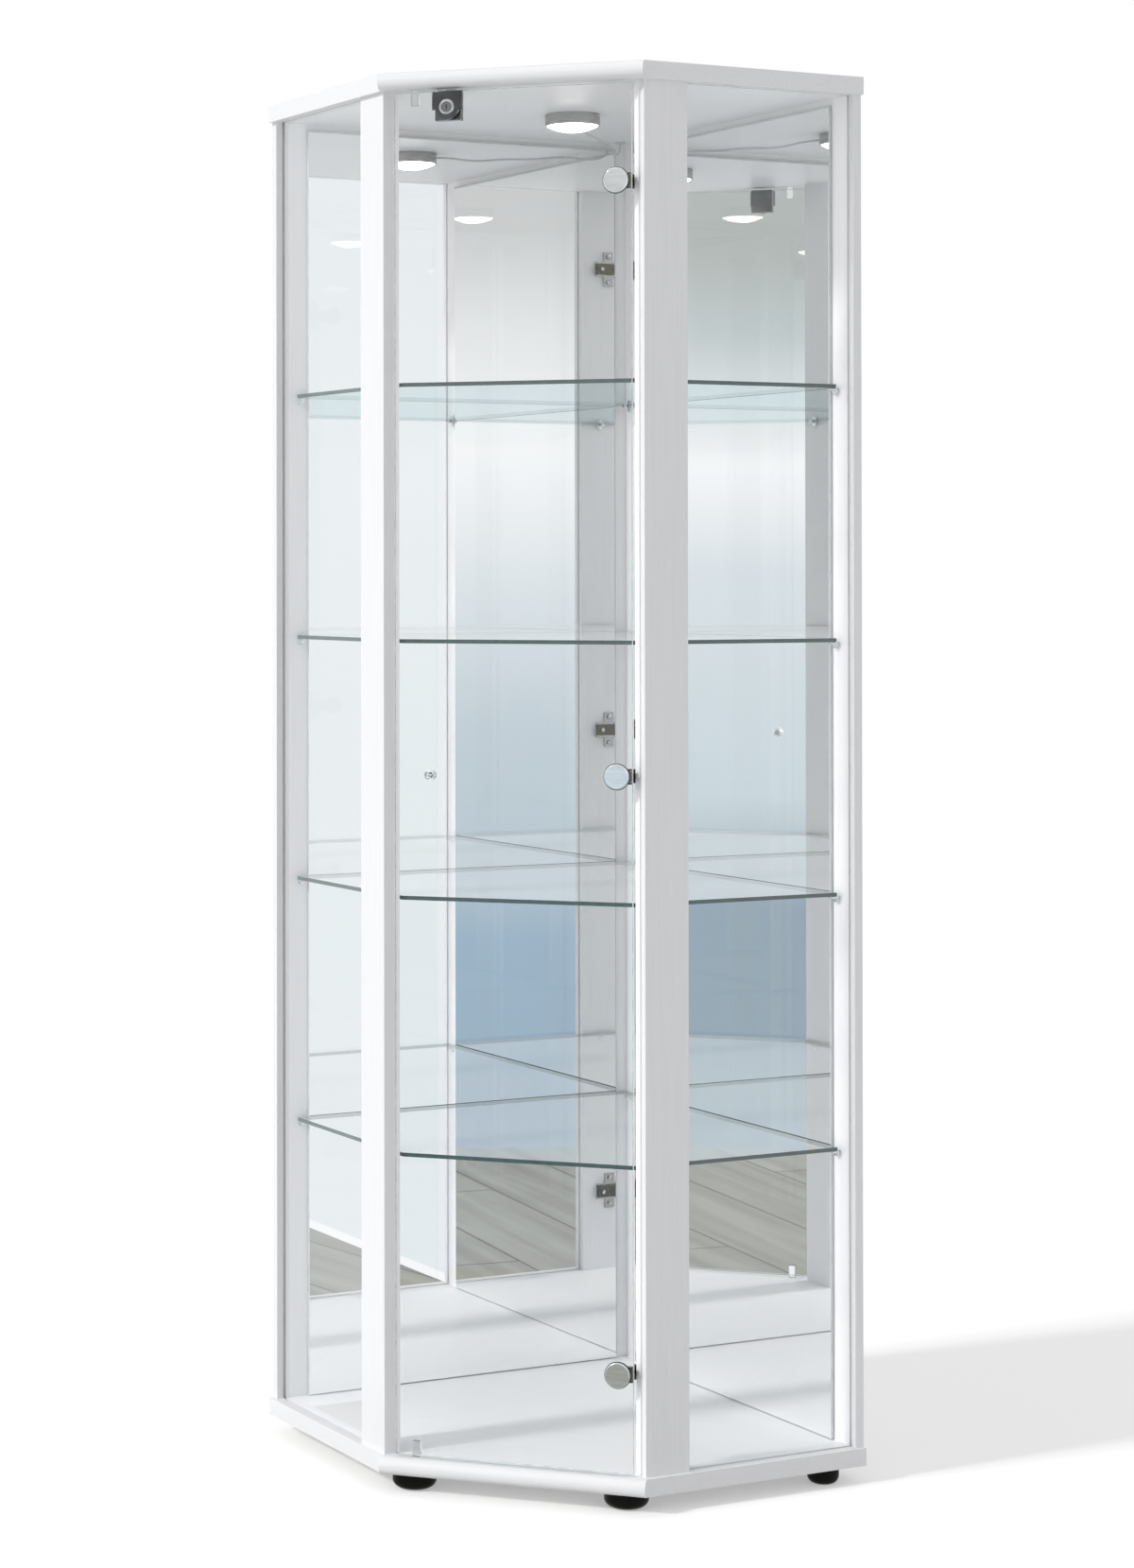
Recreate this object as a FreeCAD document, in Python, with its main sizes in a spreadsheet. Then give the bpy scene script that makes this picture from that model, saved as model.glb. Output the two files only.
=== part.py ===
import FreeCAD, Part
import math
import os
import re
import Sketcher

# Corner curio cabinet, millimetres.
# World frame: origin at the middle of the footprint on the floor, x to the right,
# y to the back (towards the corner of the room), z up.
# FRONT frame: same directions, y counted from the front line of the carcass.
# WALL frames: x along a wall from the corner of the room, y square to it.

doc = FreeCAD.newDocument("corner_curio_cabinet")

# ---------------------------------------------------------------- driving sizes
SIZES = (
    # carcass
    ("total_height", 1760),
    ("wall_length", 560),
    ("side_length", 322),
    ("panel_thick", 22),
    ("foot_height", 22),
    ("side_inset", 6),
    ("front_inset", 6),
    ("post_width", 62),
    ("post_thick", 22),
    ("wall_board", 12),
    # side glass in its grooves
    ("side_glass", 4),
    ("side_glass_inset", 9),
    ("groove_play", 0.2),
    ("groove_depth", 8),
    ("base_groove", 5),
    ("top_groove", 6),
    ("top_bite", 5),
    ("glass_bevel", 0.4),
    # mirrors
    ("mirror_thick", 4),
    ("tape_thick", 1.2),
    ("tape_width", 19),
    ("tape_margin", 14),
    ("mirror_margin", 45),
    ("mirror_gap", 8),
    ("mirror_foot_gap", 1),
    ("mirror_start_left", 19.2),
    ("mirror_start_right", 30),
    # shelves and their supports
    ("shelf_thick", 5),
    ("shelf_first", 367),
    ("shelf_pitch", 320),
    ("shelf_play", 5),
    ("shelf_wall_play", 2),
    ("shelf_setback", 27),
    ("pin_radius", 2.5),
    ("pin_length", 8.5),
    ("pin_hole_depth", 9),
    ("pin_drop", 2.5),
    ("pin_collar_radius", 5.5),
    ("pin_collar_thick", 1.5),
    ("tongue_length", 14),
    ("tongue_width", 8),
    ("tongue_thick", 3),
    ("pin_board_margin", 34),
    ("pin_corner_offset", 17.6),
    ("fit_play", 0.05),
    # screws of the carcass
    ("screw_radius", 2.5),
    ("screw_reach", 46.6),
    ("screw_head_radius", 4.5),
    ("screw_head_thick", 3.4),
    ("screw_head_sink", 4),
    ("screw_spare", 1.4),
    ("post_screw_front", 14),
    ("post_screw_pitch", 28),
    ("board_screw_margin", 90),
    ("board_screw_wall", 7),
    ("cover_radius", 5.5),
    ("cover_thick", 1.2),
    ("cover_gap", 0.6),
    # feet
    ("foot_radius", 27.5),
    ("foot_small_radius", 20),
    ("foot_rounding", 8),
    ("foot_front_margin", 33.3),
    ("foot_front_in", 33),
    ("foot_right_margin", 29),
    ("foot_left_margin", 58),
    ("foot_side_wall", 45.5),
    ("foot_back_wall", 45),
    ("foot_bore_radius", 6.5),
    ("foot_bore_depth", 12),
    ("foot_screw_radius", 2.5),
    ("foot_screw_head", 5.5),
    ("foot_screw_head_thick", 3),
    ("foot_screw_grip", 14),
    # light
    ("led_x", 5.5),
    ("led_in", 287.3),
    ("led_radius", 36),
    ("led_height", 15),
    ("led_wall", 3),
    ("led_plate", 2),
    ("lens_drop", 8),
    ("lens_thick", 2),
    ("lens_rim", 4),
    ("led_board_radius", 30),
    ("led_board_thick", 1.6),
    ("led_board_relief", 4.4),
    ("led_screw_half", 18),
    ("led_screw_radius", 2),
    ("led_screw_head", 3.8),
    ("led_screw_head_thick", 1.8),
    ("led_screw_grip", 12),
    ("lead_radius", 1.5),
    ("lead_drop", 7),
    ("lead_hole_play", 0.06),
    # supply socket
    ("inlet_corner", 46),
    ("inlet_radius", 6),
    ("inlet_flange", 8),
    ("inlet_flange_thick", 1.5),
    ("inlet_bore", 2.8),
    ("inlet_bore_depth", 10),
    ("inlet_lead_depth", 5.5),
    # door
    ("door_setback", 3),
    ("door_glass_thick", 5),
    ("door_side_over", 0.7),
    ("door_low_gap", 3),
    ("door_high_gap", 3),
    ("stop_half", 4.75),
    ("stop_depth", 8),
    ("stop_height", 19),
    ("stop_edge", 25),
    ("door_stop_gap", 0.3),
    # hinges
    ("hinge_margin", 122),
    ("pivot_edge", 5),
    ("pivot_behind", 3.3),
    ("cup_edge", 19.5),
    ("cap_radius", 16),
    ("cap_thick", 2.6),
    ("cap_rounding", 0.8),
    ("gasket_radius", 16.5),
    ("gasket_thick", 0.6),
    ("plug_radius", 13),
    ("plug_play", 0.08),
    ("flange_radius", 15),
    ("flange_thick", 1.2),
    ("cup_radius", 12),
    ("cup_depth", 10),
    ("mouth_back", 3.6),
    ("mouth_half", 7),
    ("ear_thick", 2.5),
    ("ear_radius", 3.1),
    ("hinge_pin_radius", 1.5),
    ("barrel_bore", 1.85),
    ("barrel_radius", 2.9),
    ("barrel_half", 6.3),
    ("arm_half", 1.4),
    ("arm_up", 8.5),
    ("arm_end", 38),
    ("arm_thick", 7),
    ("plate_thick", 2),
    ("plate_start", 2),
    ("plate_half", 12),
    ("wing_start", 6),
    ("wing_end", 23),
    ("wing_half", 27),
    ("hinge_screw_half", 20),
    ("hinge_screw_radius", 1.75),
    ("hinge_screw_head", 3.5),
    ("hinge_screw_head_thick", 2),
    ("hinge_screw_grip", 13),
    ("arm_screw_at", 30),
    ("arm_screw_radius", 1.5),
    ("arm_screw_head", 3.2),
    ("arm_screw_head_thick", 1.6),
    # knob
    ("knob_edge", 48),
    ("knob_height", 889),
    ("knob_radius", 7),
    ("knob_waist", 3.4),
    ("knob_bore", 2.05),
    ("knob_hole", 3.2),
    ("knob_screw_radius", 2),
    ("knob_screw_head", 4.5),
    ("knob_screw_head_thick", 2.6),
    # lock
    ("lock_edge", 70.5),
    ("lock_below", 24),
    ("lock_half", 19),
    ("lock_up", 20),
    ("lock_down", 3),
    ("lock_round", 15),
    ("lock_thick", 8),
    ("lock_barrel", 9.95),
    ("lock_glass_hole", 10),
    ("lock_case_left", 18.5),
    ("lock_case_right", 14),
    ("lock_case_depth", 12.6),
    ("key_radius", 6),
    ("key_bore", 6.35),
    ("key_proud", 0.8),
    ("key_reach", 13.2),
    ("drive_offset", 3.5),
    ("drive_radius", 1),
    ("drive_reach", 17.4),
    ("bolt_front", 14),
    ("bolt_thick", 4),
    ("bolt_half", 7),
    ("bolt_down", 12),
    ("bolt_play", 0.4),
    ("bolt_travel", 7),
    ("slot_half", 1.5),
    ("slot_inner", 1.3),
    ("strike_half_wide", 12),
    ("strike_half_deep", 7),
    ("strike_thick", 1),
    ("strike_slot_wide", 7.8),
    ("strike_slot_deep", 2.8),
    ("strike_pocket", 9),
)

# ------------------------------------------------------- sizes that follow from them
WORKED = (
    ("diagonal_share", "sqrt(0.5)"),
    ("half_diagonal", "wall_length * diagonal_share"),
    ("half_front", "(wall_length - side_length) * diagonal_share"),
    ("front_depth", "side_length * diagonal_share"),
    ("reach", "half_diagonal + front_depth"),
    ("nose", "panel_thick / 2"),
    ("corner_y", "(reach + nose) / 2"),
    ("front_y", "corner_y - reach"),
    ("base_top", "foot_height + panel_thick"),
    ("top_low", "total_height - panel_thick"),
    ("inner_height", "top_low - base_top"),
    ("side_plane", "wall_length - side_inset"),
    ("post_front", "side_length + side_inset - front_inset / diagonal_share"),
    ("post_back", "post_front - post_width"),
    ("post_inside", "side_plane - post_thick"),
    ("pane_out", "side_plane - side_glass_inset"),
    ("pane_in", "pane_out - side_glass"),
    ("mirror_face", "wall_board + tape_thick + mirror_thick"),
    ("mirror_end", "side_plane - mirror_margin"),
    ("mirror_low", "base_top + mirror_foot_gap"),
    ("mirror_high", "top_low - mirror_gap"),
    ("shelf_side", "post_inside - shelf_play"),
    ("shelf_wall", "mirror_face + shelf_wall_play"),
    ("post_corner_x", "(post_inside - post_front) * diagonal_share"),
    ("post_corner_in", "reach - (post_front + post_inside) * diagonal_share"),
    ("door_half", "post_corner_x + door_side_over"),
    ("door_low", "base_top + door_low_gap"),
    ("door_high", "top_low - door_high_gap"),
    ("glass_back", "door_setback + door_glass_thick"),
    ("pivot_x", "door_half - pivot_edge"),
    ("pivot_in", "glass_back + pivot_behind"),
    ("cup_x", "door_half - cup_edge"),
    ("hinge_bottom", "base_top + hinge_margin"),
    ("hinge_middle", "(base_top + top_low) / 2"),
    ("hinge_top", "top_low - hinge_margin"),
    ("slope_near", "post_corner_in - post_corner_x + plate_thick / diagonal_share"),
    ("slope_far", "post_corner_in - post_corner_x + (plate_thick + arm_thick) / diagonal_share"),
    ("lock_z", "top_low - lock_below"),
    ("lock_offset", "door_half - lock_edge"),
    ("knob_offset", "door_half - knob_edge"),
    ("stop_offset", "door_half - stop_edge"),
    ("foot_front_half", "half_front - foot_front_margin"),
    ("inlet_in", "reach - inlet_corner"),
    ("led_low", "top_low - led_height"),
    ("lens_radius", "led_radius - led_wall - fit_play"),
    ("lens_sphere", "(lens_radius * lens_radius + lens_drop * lens_drop) / (2 * lens_drop)"),
)

sizes = doc.addObject("Spreadsheet::Sheet", "Sizes")
worked = doc.addObject("Spreadsheet::Sheet", "Worked")
home = {}
for row, (name, value) in enumerate(SIZES, 1):
    sizes.set("A%d" % row, name)
    sizes.set("B%d" % row, str(value))
    sizes.setAlias("B%d" % row, name)
    home[name] = "Sizes"


def full(text, skip=""):
    """write every size name in a formula with the sheet it lives in"""
    def swap(found):
        word = found.group(0)
        if word in home and home[word] != skip:
            return home[word] + "." + word
        return word
    return re.sub(r"[A-Za-z_]+", swap, str(text))


for row, (name, formula) in enumerate(WORKED, 1):
    worked.set("A%d" % row, name)
    worked.set("B%d" % row, "=" + full(formula, "Worked"))
    worked.setAlias("B%d" % row, name)
    home[name] = "Worked"
doc.recompute()


# ---------------------------------------------------------------------- helpers
TURNS = {
    "up": "vector(0;0;1);0",
    "down": "vector(1;0;0);180",
    "right": "vector(0;1;0);90",
    "left": "vector(0;1;0);-90",
    "back": "vector(1;0;0);-90",
    "front": "vector(1;0;0);90",
}
FRONT = ("0", "front_y", "0", "0")
WALLS = {
    "right": ("0", "corner_y", "0", "-45"),
    "left": ("0", "corner_y", "0", "-135"),
}
SIGN = {"right": "1", "left": "-1"}
tally = {"n": 0}
nodes = []


def fresh(stem):
    tally["n"] += 1
    return "%s_%d" % (stem, tally["n"])


def place(obj, x, y, z, turn):
    """bind a placement: a point and a turn"""
    text = "placement(vector(%s;%s;%s);rotation(%s))" % (full(x), full(y), full(z), full(turn))
    obj.setExpression("Placement", text)


def stand(obj, frame):
    x, y, z, angle = frame
    place(obj, x, y, z, "vector(0;0;1);%s" % angle)


def spot(x, y, side):
    """world x and y of a point given in the wall frame of the right side (y is negative inside)"""
    return (
        "%s * ((%s) + (%s)) * diagonal_share" % (SIGN[side], x, y),
        "corner_y + ((%s) - (%s)) * diagonal_share" % (y, x),
    )


def spot_front(x, y, side):
    """the same point in the FRONT frame"""
    return (
        "%s * ((%s) + (%s)) * diagonal_share" % (SIGN[side], x, y),
        "reach + ((%s) - (%s)) * diagonal_share" % (y, x),
    )


def keep(obj, node):
    obj.Label = node
    nodes.append((node, obj))
    return obj


def new_body(frame):
    body = doc.addObject("PartDesign::Body", fresh("body"))
    stand(body, frame)
    return body


def new_sketch(body, role, lift):
    sketch = body.newObject("Sketcher::SketchObject", fresh("sketch"))
    plane = [item for item in body.Origin.OriginFeatures if item.Role == role][0]
    sketch.AttachmentSupport = (plane, [""])
    sketch.MapMode = "FlatFace"
    if lift != "0":
        sketch.setExpression("AttachmentOffset.Base.z", full(lift))
    return sketch


def fix_point(sketch, geo, pos, x, y):
    """bind one sketch point to two formulas"""
    for kind, text, axis in (("DistanceX", x, -2), ("DistanceY", y, -1)):
        if text == "0":
            sketch.addConstraint(Sketcher.Constraint("PointOnObject", geo, pos, axis))
        else:
            number = sketch.addConstraint(Sketcher.Constraint(kind, geo, pos, 1.0))
            sketch.setExpression("Constraints[%d]" % number, full(text))


def draw_outline(sketch, points):
    first = sketch.GeometryCount
    count = len(points)
    ring = [2 * math.pi * step / count for step in range(count + 1)]
    for step in range(count):
        start = FreeCAD.Vector(math.cos(ring[step]), math.sin(ring[step]), 0)
        end = FreeCAD.Vector(math.cos(ring[step + 1]), math.sin(ring[step + 1]), 0)
        sketch.addGeometry(Part.LineSegment(start, end))
    for step in range(count):
        follower = first + (step + 1) % count
        sketch.addConstraint(Sketcher.Constraint("Coincident", first + step, 2, follower, 1))
    for step, (x, y) in enumerate(points):
        fix_point(sketch, first + step, 1, x, y)


def draw_circle(sketch, x, y, radius):
    number = sketch.GeometryCount
    centre = FreeCAD.Vector(3.0 * number + 1.0, 2.0, 0)
    sketch.addGeometry(Part.Circle(centre, FreeCAD.Vector(0, 0, 1), 1.0))
    fix_point(sketch, number, 3, x, y)
    limit = sketch.addConstraint(Sketcher.Constraint("Radius", number, 1.0))
    sketch.setExpression("Constraints[%d]" % limit, full(radius))


def pad(body, sketch, length, both=False):
    feature = body.newObject("PartDesign::Pad", fresh("pad"))
    feature.Profile = sketch
    if both:
        feature.SideType = "Symmetric"
    feature.setExpression("Length", full(length))
    sketch.Visibility = False
    return feature


def sink(body, role, lift, depth, outlines=(), circles=()):
    """cut shapes to a depth on both sides of a plane that lies on a face"""
    sketch = new_sketch(body, role, lift)
    for points in outlines:
        draw_outline(sketch, points)
    for x, y, radius in circles:
        draw_circle(sketch, x, y, radius)
    feature = body.newObject("PartDesign::Pocket", fresh("pocket"))
    feature.Profile = sketch
    feature.SideType = "Symmetric"
    feature.setExpression("Length", "2 * (%s)" % full(depth))
    sketch.Visibility = False
    return feature


def plate(frame, points, low, height, bevel=None, circles=()):
    """a flat piece: an outline in plan, raised from one height"""
    body = new_body(frame)
    sketch = new_sketch(body, "XY_Plane", low)
    draw_outline(sketch, points)
    for x, y, radius in circles:
        draw_circle(sketch, x, y, radius)
    last = pad(body, sketch, height)
    if bevel:
        soften(body, last, bevel)
    return body


def soften(body, feature, size):
    chamfer = body.newObject("PartDesign::Chamfer", fresh("chamfer"))
    chamfer.Base = (feature, [""])
    chamfer.UseAllEdges = True
    chamfer.setExpression("Size", full(size))
    return chamfer


def box(x0, x1, y0, y1, z0, z1):
    obj = doc.addObject("Part::Box", fresh("box"))
    obj.setExpression("Length", full("(%s) - (%s)" % (x1, x0)))
    obj.setExpression("Width", full("(%s) - (%s)" % (y1, y0)))
    obj.setExpression("Height", full("(%s) - (%s)" % (z1, z0)))
    place(obj, x0, y0, z0, TURNS["up"])
    return obj


def rod(radius, length, x, y, z, aim="up"):
    obj = doc.addObject("Part::Cylinder", fresh("rod"))
    obj.setExpression("Radius", full(radius))
    obj.setExpression("Height", full(length))
    place(obj, x, y, z, TURNS[aim])
    return obj


def cone(radius, radius_end, length, x, y, z, aim="up"):
    obj = doc.addObject("Part::Cone", fresh("cone"))
    obj.setExpression("Radius1", full(radius))
    obj.setExpression("Radius2", full(radius_end))
    obj.setExpression("Height", full(length))
    place(obj, x, y, z, TURNS[aim])
    return obj


def ball(radius, x, y, z):
    obj = doc.addObject("Part::Sphere", fresh("ball"))
    obj.setExpression("Radius", full(radius))
    place(obj, x, y, z, TURNS["up"])
    return obj


def join(pieces, where=None):
    obj = doc.addObject("Part::MultiFuse", fresh("join"))
    obj.Shapes = pieces
    obj.Refine = True
    if where:
        place(obj, *where)
    return obj


def cut(base, tools, where=None):
    tool = tools[0] if len(tools) == 1 else join(tools)
    obj = doc.addObject("Part::Cut", fresh("cut"))
    obj.Base = base
    obj.Tool = tool
    if where:
        place(obj, *where)
    return obj


def overlap(first, second):
    obj = doc.addObject("Part::Common", fresh("overlap"))
    obj.Base = first
    obj.Tool = second
    return obj


def group(pieces):
    obj = doc.addObject("Part::Compound", fresh("group"))
    obj.Links = pieces
    return obj


def screw(radius, reach, head_radius, head_thick, where):
    """a screw with its head below the origin and its shank upwards"""
    shank = "(%s) - (%s)" % (reach, radius)
    pieces = [
        rod(head_radius, head_thick, "0", "0", "0", "down"),
        rod(radius, shank, "0", "0", "0"),
        cone(radius, "0.3", radius, "0", "0", shank),
    ]
    slot = box("-(%s) / 7" % head_radius, "(%s) / 7" % head_radius,
               "-(%s) * 0.7" % head_radius, "(%s) * 0.7" % head_radius,
               "-(%s)" % head_thick, "-(%s) * 0.6" % head_thick)
    return cut(join(pieces), [slot], where)


# ------------------------------------------------------------ top and base panels
OUTLINE = [
    ("-half_front", "0"),
    ("half_front", "0"),
    ("half_diagonal", "front_depth"),
    ("0", "reach"),
    ("-half_diagonal", "front_depth"),
]
SIDES = ("right", "left")
POST_SCREWS = [
    ("side_plane - post_thick / 2", "-(post_front - post_screw_front)"),
    ("side_plane - post_thick / 2", "-(post_front - post_screw_front - post_screw_pitch)"),
]
BOARD_SCREWS = [
    ("board_screw_margin", "-board_screw_wall"),
    ("side_plane / 2", "-board_screw_wall"),
    ("side_plane - board_screw_margin", "-board_screw_wall"),
]
FEET = (
    ("foot_front_left", "foot_radius", "-foot_front_half", "foot_front_in"),
    ("foot_front_right", "foot_radius", "foot_front_half", "foot_front_in"),
    ("foot_side_left", "foot_small_radius")
    + spot_front("wall_length - foot_left_margin", "-foot_side_wall", "left"),
    ("foot_side_right", "foot_small_radius")
    + spot_front("wall_length - foot_right_margin", "-foot_side_wall", "right"),
    ("foot_back", "foot_small_radius") + spot_front("foot_back_wall", "-foot_back_wall", "right"),
)


def screw_spots():
    for side in SIDES:
        for x, y in POST_SCREWS + BOARD_SCREWS:
            yield spot_front(x, y, side)


def pane_groove(side):
    """the slot in a panel that takes the edge of one side pane"""
    inner = "pane_in - groove_play"
    outer = "pane_out + groove_play"
    far = "-(post_back + groove_depth)"
    near = "-(wall_board - groove_depth)"
    return [
        spot_front(inner, far, side),
        spot_front(outer, far, side),
        spot_front(outer, near, side),
        spot_front(inner, near, side),
    ]


def panel(low):
    body = new_body(FRONT)
    sketch = new_sketch(body, "XY_Plane", low)
    draw_outline(sketch, OUTLINE)
    pad(body, sketch, "panel_thick")
    edge = new_sketch(body, "YZ_Plane", "0")
    draw_circle(edge, "0", "%s + nose" % low, "nose")
    pad(body, edge, "2 * half_front", both=True)
    return body


top = panel("top_low")
sink(top, "XY_Plane", "top_low", "top_groove", [pane_groove(side) for side in SIDES])
sink(top, "XY_Plane", "total_height", "cover_thick",
     circles=[(x, y, "cover_radius + fit_play") for x, y in screw_spots()])
sink(top, "XY_Plane", "total_height", "cover_thick + cover_gap + screw_head_thick",
     circles=[(x, y, "screw_head_radius + fit_play") for x, y in screw_spots()])
sink(top, "XY_Plane", "total_height", "panel_thick + 1",
     circles=[(x, y, "screw_radius + fit_play") for x, y in screw_spots()])
sink(top, "XY_Plane", "total_height", "panel_thick + 1",
     circles=[("0", "inlet_in", "inlet_radius + fit_play")])
sink(top, "XY_Plane", "top_low", "led_screw_grip + 1",
     circles=[("led_x + led_screw_half", "led_in", "led_screw_radius + fit_play"),
              ("led_x - led_screw_half", "led_in", "led_screw_radius + fit_play")])
BOLT_IN = "bolt_front + bolt_thick / 2"


def around(half_wide, half_deep):
    return [
        ("-lock_offset - (%s)" % half_wide, "%s - (%s)" % (BOLT_IN, half_deep)),
        ("-lock_offset + (%s)" % half_wide, "%s - (%s)" % (BOLT_IN, half_deep)),
        ("-lock_offset + (%s)" % half_wide, "%s + (%s)" % (BOLT_IN, half_deep)),
        ("-lock_offset - (%s)" % half_wide, "%s + (%s)" % (BOLT_IN, half_deep)),
    ]


sink(top, "XY_Plane", "top_low", "strike_thick",
     [around("strike_half_wide + fit_play", "strike_half_deep + fit_play")])
sink(top, "XY_Plane", "top_low", "strike_pocket",
     [around("strike_slot_wide + 0.4", "strike_slot_deep + 0.4")])
keep(top, "top_panel")

base = panel("foot_height")
sink(base, "XY_Plane", "base_top", "base_groove", [pane_groove(side) for side in SIDES])
sink(base, "XY_Plane", "foot_height", "screw_head_sink",
     circles=[(x, y, "screw_head_radius + fit_play") for x, y in screw_spots()])
sink(base, "XY_Plane", "foot_height", "panel_thick + 1",
     circles=[(x, y, "screw_radius + fit_play") for x, y in screw_spots()])
sink(base, "XY_Plane", "foot_height", "foot_screw_grip + 1",
     circles=[(x, y, "foot_screw_radius + fit_play") for node, radius, x, y in FEET])
keep(base, "base_panel")

# ------------------------------------------------------------ posts and wall boards
HINGES = ("bottom", "middle", "top")
SHELVES = (1, 2, 3, 4)


def shelf_low(number):
    return "base_top + shelf_first + shelf_pitch * %d" % (number - 1)


def flip(text, side):
    """y of a wall frame point: the left frame counts it the other way"""
    return text if side == "right" else "-(%s)" % text


def flipped(points, side):
    return [(x, "0" if y == "0" else flip(y, side)) for x, y in points]


for side in SIDES:
    body = new_body(WALLS[side])
    sketch = new_sketch(body, "XY_Plane", "base_top")
    draw_outline(sketch, flipped([
        ("post_inside", "-post_front"),
        ("side_plane", "-post_front"),
        ("side_plane", "-post_back"),
        ("pane_out + groove_play", "-post_back"),
        ("pane_out + groove_play", "-(post_back + groove_depth)"),
        ("pane_in - groove_play", "-(post_back + groove_depth)"),
        ("pane_in - groove_play", "-post_back"),
        ("post_inside", "-post_back"),
    ], side))
    pad(body, sketch, "inner_height")
    holes = [(x, flip(y, side), "screw_radius + fit_play") for x, y in POST_SCREWS]
    sink(body, "XY_Plane", "base_top", "screw_reach - panel_thick + screw_head_sink + screw_spare",
         circles=holes)
    sink(body, "XY_Plane", "top_low",
         "screw_reach - panel_thick + cover_thick + cover_gap + screw_head_thick + screw_spare",
         circles=holes)
    middle = flip("-(post_front - post_width / 2)", side)
    sink(body, "YZ_Plane", "post_inside", "pin_hole_depth",
         circles=[(middle, shelf_low(n) + " - pin_drop", "pin_radius + fit_play") for n in SHELVES])
    if side == "right":
        across = "-(post_front - (wing_start + wing_end) / 2)"
        spots = []
        for level in HINGES:
            for sign in "+-":
                spots.append((across, "hinge_%s %s hinge_screw_half" % (level, sign),
                              "hinge_screw_radius + fit_play"))
        sink(body, "YZ_Plane", "post_inside", "hinge_screw_grip + 1", circles=spots)
    keep(body, "front_post_" + side)

for side in SIDES:
    start = "0" if side == "right" else "wall_board"
    body = new_body(WALLS[side])
    sketch = new_sketch(body, "XY_Plane", "base_top")
    draw_outline(sketch, flipped([
        (start, "0"),
        ("side_plane", "0"),
        ("side_plane", "-wall_board"),
        ("pane_out + groove_play", "-wall_board"),
        ("pane_out + groove_play", "-(wall_board - groove_depth)"),
        ("pane_in - groove_play", "-(wall_board - groove_depth)"),
        ("pane_in - groove_play", "-wall_board"),
        (start, "-wall_board"),
    ], side))
    pad(body, sketch, "inner_height")
    holes = [(x, flip(y, side), "screw_radius + fit_play") for x, y in BOARD_SCREWS]
    sink(body, "XY_Plane", "base_top", "screw_reach - panel_thick + screw_head_sink + screw_spare",
         circles=holes)
    sink(body, "XY_Plane", "top_low",
         "screw_reach - panel_thick + cover_thick + cover_gap + screw_head_thick + screw_spare",
         circles=holes)
    spots = [("side_plane - pin_board_margin", shelf_low(n) + " - pin_drop") for n in SHELVES]
    if side == "right":
        spots += [("wall_board + pin_corner_offset", shelf_low(n) + " - pin_drop") for n in SHELVES]
    face = "wall_board" if side == "right" else "-wall_board"
    sink(body, "XZ_Plane", face, "pin_hole_depth",
         circles=[(x, z, "pin_radius + fit_play") for x, z in spots])
    keep(body, "back_panel_" + side)

# ---------------------------------------------------- side glass, mirrors and tape
for side in SIDES:
    glass = plate(WALLS[side], flipped([
        ("pane_in", "-(post_back + groove_depth - groove_play)"),
        ("pane_out", "-(post_back + groove_depth - groove_play)"),
        ("pane_out", "-(wall_board - groove_depth + groove_play)"),
        ("pane_in", "-(wall_board - groove_depth + groove_play)"),
    ], side), "base_top - base_groove", "inner_height + base_groove + top_bite", "glass_bevel")
    keep(glass, "side_glass_" + side)

for side in SIDES:
    start = "wall_board + mirror_start_" + side
    mirror = plate(WALLS[side], flipped([
        (start, "-mirror_face"),
        ("mirror_end", "-mirror_face"),
        ("mirror_end", "-(wall_board + tape_thick)"),
        (start, "-(wall_board + tape_thick)"),
    ], side), "mirror_low", "mirror_high - mirror_low", "glass_bevel")
    keep(mirror, "mirror_" + side)
    first = "(%s) + tape_margin" % start
    last = "mirror_end - tape_margin - tape_width"
    strips = []
    for left_edge in (first, "((%s) + (%s)) / 2" % (first, last), last):
        strips.append(plate(WALLS[side], flipped([
            (left_edge, "-(wall_board + tape_thick)"),
            ("%s + tape_width" % left_edge, "-(wall_board + tape_thick)"),
            ("%s + tape_width" % left_edge, "-wall_board"),
            (left_edge, "-wall_board"),
        ], side), "mirror_low + tape_margin", "mirror_high - mirror_low - 2 * tape_margin"))
    keep(group(strips), "mirror_tape_" + side)

# ------------------------------------------------------------ shelves and supports
SUPPORTS = (
    ("side_plane - pin_board_margin", "-wall_board", "right", "-135"),
    ("side_plane - pin_board_margin", "-wall_board", "left", "-45"),
    ("wall_board + pin_corner_offset", "-wall_board", "right", "-135"),
    ("post_inside", "-(post_front - post_width / 2)", "right", "135"),
    ("post_inside", "-(post_front - post_width / 2)", "left", "45"),
)


def support(x, y, side, angle, low):
    """pin, collar and tongue of one shelf support; its own x points into the cabinet"""
    pieces = [
        rod("pin_radius", "pin_length + pin_collar_thick", "-pin_length", "0", "-pin_drop", "right"),
        rod("pin_collar_radius", "pin_collar_thick", "0", "0", "-pin_drop", "right"),
        box("0", "pin_collar_thick + tongue_length", "-tongue_width / 2", "tongue_width / 2",
            "-tongue_thick", "0"),
    ]
    world_x, world_y = spot(x, y, side)
    return join(pieces, (world_x, world_y, low, "vector(0;0;1);%s" % angle))


for number in SHELVES:
    low = shelf_low(number)
    front = "reach - shelf_setback"
    shelf = plate(FRONT, [
        ("-(shelf_side / diagonal_share - (%s))" % front, "shelf_setback"),
        ("shelf_side / diagonal_share - (%s)" % front, "shelf_setback"),
        spot_front("shelf_side", "-shelf_wall", "right"),
        ("0", "reach - shelf_wall / diagonal_share"),
        spot_front("shelf_side", "-shelf_wall", "left"),
    ], low, "shelf_thick", "glass_bevel")
    keep(shelf, "glass_shelf_%d" % number)
    keep(group([support(x, y, side, angle, low) for x, y, side, angle in SUPPORTS]),
         "shelf_pins_%d" % number)

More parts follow.
